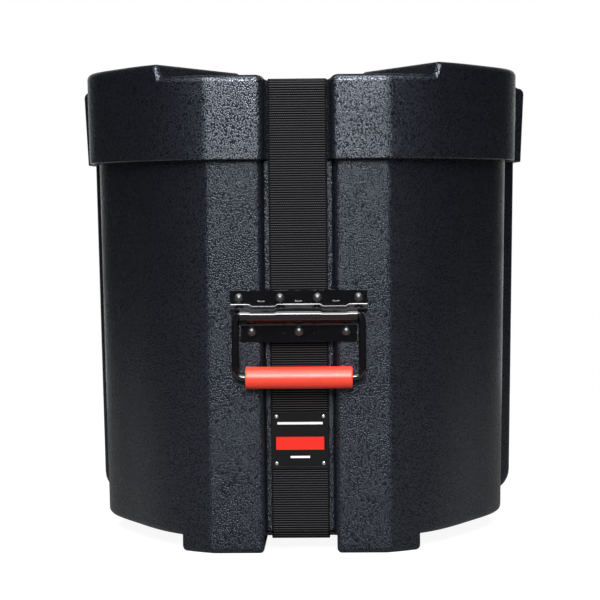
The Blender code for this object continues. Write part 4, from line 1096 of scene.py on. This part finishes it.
def makeGrip():
    h = handle
    radius, half = h["gripRadius"], h["gripHalf"]
    grip = addShape(
        "handleGrip", bpy.ops.mesh.primitive_cylinder_add, vertices=64, radius=radius, depth=2 * half,
        location=(0, 0, -h["bailDrop"]), rotation=(0, math.pi / 2, 0),
    )

    def onEndCircle(vert):
        reach = Vector((0, vert.co.y, vert.co.z + h["bailDrop"])).length
        return abs(abs(vert.co.x) - half) < 1e-6 and abs(reach - radius) < 1e-5

    startEdit(grip)
    for side in (-1, 1):
        pick(grip, "FACE", lambda face: face.normal.x * side > 0.9)
        bpy.ops.mesh.inset(thickness=radius - h["bailRadius"] - h["gripGap"])
        extrudeFaces((-side * h["gripHollow"], 0, 0))
    pick(grip, "EDGE", lambda edge: all(onEndCircle(vert) for vert in edge.verts))
    bevelEdges(h["gripRound"], 4)
    endEdit()
    smoothPiece(grip, 40)
    placePiece(grip, axisPlace)
    handOver(grip, "bail", redGrip, "grip", "handle_grip")


makeBracket()
makeBail()
makeGrip()
print("handle done")


# rivets: each kind and length is modelled once, the rest are copies with meshes of their own
rivets = {
    "large": {"head": 0.0046, "height": 0.0030, "shank": 0.0024},
    "small": {"head": 0.0018, "height": 0.0010, "shank": 0.0009},
    "skirt": 0.0003, "gap": 0.0003,
    "washerFlat": 0.0042, "washerChannel": 0.0152, "channelHalf": 0.03,  # shank from the seat to the washer inside
    "tail": 0.0028,
}
rivetMeshes = {}


def rivetMesh(kind, length):
    if (kind, length) in rivetMeshes:
        return rivetMeshes[kind, length]
    head, height, shank = (rivets[kind][key] for key in ("head", "height", "shank"))
    rivet = addShape("rivet", bpy.ops.mesh.primitive_uv_sphere_add, segments=28, ring_count=16, radius=head)
    startEdit(rivet, "SELECT")
    bpy.ops.mesh.bisect(plane_co=(0, 0, 0), plane_no=(0, 0, 1), clear_inner=True, use_fill=False)
    selectMesh()
    bpy.ops.transform.resize(value=(1, 1, (height - rivets["skirt"]) / head), center_override=(0, 0, 0))
    bpy.ops.transform.translate(value=(0, 0, rivets["skirt"]))
    pick(rivet, "EDGE", lambda edge: edge.is_boundary)
    extrudeEdges((0, 0, -rivets["skirt"]))
    extrudeEdges()
    bpy.ops.transform.resize(value=(shank / head, shank / head, 1), center_override=(0, 0, 0))
    extrudeEdges((0, 0, -length))
    bpy.ops.mesh.edge_face_add()
    endOutward()
    smoothPiece(rivet, 50)
    rivetMeshes[kind, length] = rivet.data
    bpy.data.objects.remove(rivet, do_unlink=True)
    return rivetMeshes[kind, length]


def addRivet(name, node, kind, length, place, material, slot):
    rivet = bpy.data.objects.new(name, rivetMesh(kind, length).copy())
    bpy.context.scene.collection.objects.link(rivet)
    placePiece(rivet, place)
    handOver(rivet, "case", material, slot, node)


def faceOut(base, x, y, z):
    return base @ Matrix.Translation((x, y, z)) @ Matrix.Rotation(math.pi / 2, 4, "X")


headY = flangeY - rivets["gap"]
for row, spots, z in (("upper", handle["upperRivets"], handle["upperRise"]),
                      ("lower", handle["lowerRivets"], -handle["lowerDrop"])):
    for i, x in enumerate(spots, 1):
        inner = rivets["washerFlat"] if abs(x) > rivets["channelHalf"] else rivets["washerChannel"]
        addRivet(f"rivet{row.title()}{i}", f"rivet_{row}_{i}", "large", inner - headY + rivets["tail"],
                 faceOut(seatPlace, x, headY, z), blackRivet, "enamel")


# plate on the webbing: plain stripes, no words
plate = {
    "seat": (0, -0.18915, 0.1056), "halfWidth": 0.0264, "halfHeight": 0.0260, "thick": 0.0012, "back": -0.0028,
    "cornerRound": 0.0015, "rimWidth": 0.0009, "rimDeep": 0.00018, "edge": 0.00015,
    "rivetX": 0.0218, "rivetZ": 0.0219, "rivetSink": 0.00005, "rivetLength": 0.0030,
    "ground": (0.0022, 0.0022, 0.0028), "gloss": 0.34, "shine": 0.20,
    # bottom and top from the plate's middle, half width, colour
    "bands": [
        (-0.0092, 0.0028, 0.0222, (0.60, 0.020, 0.012)),
        (0.0144, 0.0166, 0.0210, (0.70, 0.70, 0.70)),
        (-0.0170, -0.0150, 0.0090, (0.70, 0.70, 0.70)),
    ],
}
platePlace = Matrix.Translation(plate["seat"]) @ Matrix.Rotation(handle["tilt"], 4, "X")


def stripedPlateFinish():
    material, tree, shader = newFinish("stripedPlate")
    spot = coordsOf(tree)
    place = addNode(tree, "SeparateXYZ", {0: spot})
    speck = addNoise(tree, spot, 700.0, 3.0)
    colour = twoTones(tree, speck, plate["ground"], 1.0, 1.6)
    base = plate["seat"][2]
    for bottom, top, halfWide, paint in plate["bands"]:
        low, high = base + bottom, base + top
        inHeight = addMath(tree, "COMPARE", place.outputs["Z"], (low + high) / 2, (high - low) / 2)
        inWidth = addMath(tree, "COMPARE", place.outputs["X"], 0.0, halfWide)
        values = {"Factor": addMath(tree, "MULTIPLY", inHeight, inWidth), "A": colour, "B": (*paint, 1)}
        colour = addNode(tree, "Mix", values, data_type="RGBA").outputs["Result"]
    feed(tree, shader, {
        "Base Color": colour, "Normal": addBump(tree, speck, 0.00003, 0.5),
        "Roughness": plate["gloss"], "Specular IOR Level": plate["shine"],
    })
    return material


def makePlate():
    frontY = plate["back"] - plate["thick"]
    low = (-plate["halfWidth"], frontY, -plate["halfHeight"])
    high = (plate["halfWidth"], plate["back"], plate["halfHeight"])
    piece = addCube("stripedPlate", low, high)
    startEdit(piece)
    pick(piece, "EDGE", lambda edge: abs(edge.verts[0].co.y - edge.verts[1].co.y) > plate["thick"] / 2)
    bevelEdges(plate["cornerRound"], 4)
    pick(piece, "FACE", lambda face: face.normal.y < -0.9)
    bpy.ops.mesh.inset(thickness=plate["rimWidth"])
    extrudeFaces((0, plate["rimDeep"], 0))
    endEdit()
    softenEdges(piece, plate["edge"], 40)
    smoothPiece(piece, 40)
    placePiece(piece, platePlace)
    handOver(piece, "case", stripedPlateFinish(), "enamel", "id_plate")
    corners = [(x, z) for x in (-plate["rivetX"], plate["rivetX"]) for z in (-plate["rivetZ"], plate["rivetZ"])]
    for i, (x, z) in enumerate(corners, 1):
        place = faceOut(platePlace, x, frontY + plate["rivetSink"], z)
        addRivet(f"plateRivet{i}", f"plate_rivet_{i}", "small", plate["rivetLength"], place, brightZinc, "zinc")


makePlate()
print("plate done")


# rear anchor
anchor = {
    "seat": (0, 0.19717, 0.2225), "tilt": math.radians(0.95), "edge": 0.0004,
    "rivetX": 0.0180, "rivetY": -0.0047, "rivetLength": 0.0117,
}
anchorPlace = (
    Matrix.Translation(anchor["seat"]) @ Matrix.Rotation(math.pi, 4, "Z") @ Matrix.Rotation(anchor["tilt"], 4, "X")
)
anchorPiece = mergedCopy("anchorPlate", "anchor_plate")
softenEdges(anchorPiece, anchor["edge"], 50)
smoothPiece(anchorPiece, 40)
handOver(anchorPiece, "case", blackEnamel, "enamel", "anchor_plate")
for i, x in enumerate((-anchor["rivetX"], anchor["rivetX"]), 1):
    place = faceOut(anchorPlace, x, anchor["rivetY"], 0)
    addRivet(f"anchorRivet{i}", f"anchor_rivet_{i}", "large", anchor["rivetLength"], place, brightZinc, "zinc")


# buckle
buckle = {
    "edge": 0.00035,
    "parts": [
        ("buckleFemale", "buckle_female", "lid"), ("buckleMale", "buckle_male", "lid"),
        ("buckleArmLeft", "buckle_arm_left", "arm_left"), ("buckleArmRight", "buckle_arm_right", "arm_right"),
    ],
}
for name, node, body in buckle["parts"]:
    piece = mergedCopy(name, node)
    startEdit(piece, "SELECT")
    bpy.ops.mesh.dissolve_limited(angle_limit=math.radians(0.3))
    endEdit()
    softenEdges(piece, buckle["edge"], 42)
    smoothPiece(piece, 40)
    handOver(piece, body, blackAcetal, "buckle", node)
print("buckle done")


# foam pads
pads = {
    "parts": [("floorPad", "floor_pad", "case"), ("lidPad", "lid_pad", "lid")],
    "gap": 0.0002, "rings": (0.006, 0.030, 0.040, 0.045), "edgeRound": 0.003,
}
for name, node, body in pads["parts"]:
    low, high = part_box(node)
    middle = (low + high) / 2
    radius = (high.x - low.x) / 2 - pads["gap"]
    tall = high.z - low.z
    pad = addShape(name, bpy.ops.mesh.primitive_cylinder_add, vertices=96, radius=radius, depth=tall, location=middle)
    startEdit(pad)
    pick(pad, "FACE", lambda face: abs(face.normal.z) > 0.9)
    for inset in pads["rings"]:
        bpy.ops.mesh.inset(thickness=inset, use_individual=True)
    pick(pad, "EDGE", lambda edge: abs(edge.verts[0].co.z - edge.verts[1].co.z) < 1e-6 and all(
        abs(Vector((vert.co.x - middle.x, vert.co.y - middle.y)).length - radius) < 1e-5 for vert in edge.verts))
    bevelEdges(pads["edgeRound"], 4)
    endEdit()
    smoothPiece(pad, 40)
    handOver(pad, body, greyFoam, "foam", node)
print("foam done")


# CAD nodes that keep their shape and only get a finish
zincNodes = ["handle_spring_left", "handle_spring_right", "anchor_washer_1", "anchor_washer_2"]
zincNodes += [f"washer_upper_{i}" for i in (1, 2, 3, 4)] + [f"washer_lower_{i}" for i in (1, 2, 3)]
for node in zincNodes:
    nodes[node].data.materials.clear()
    nodes[node].data.materials.append(brightZinc)
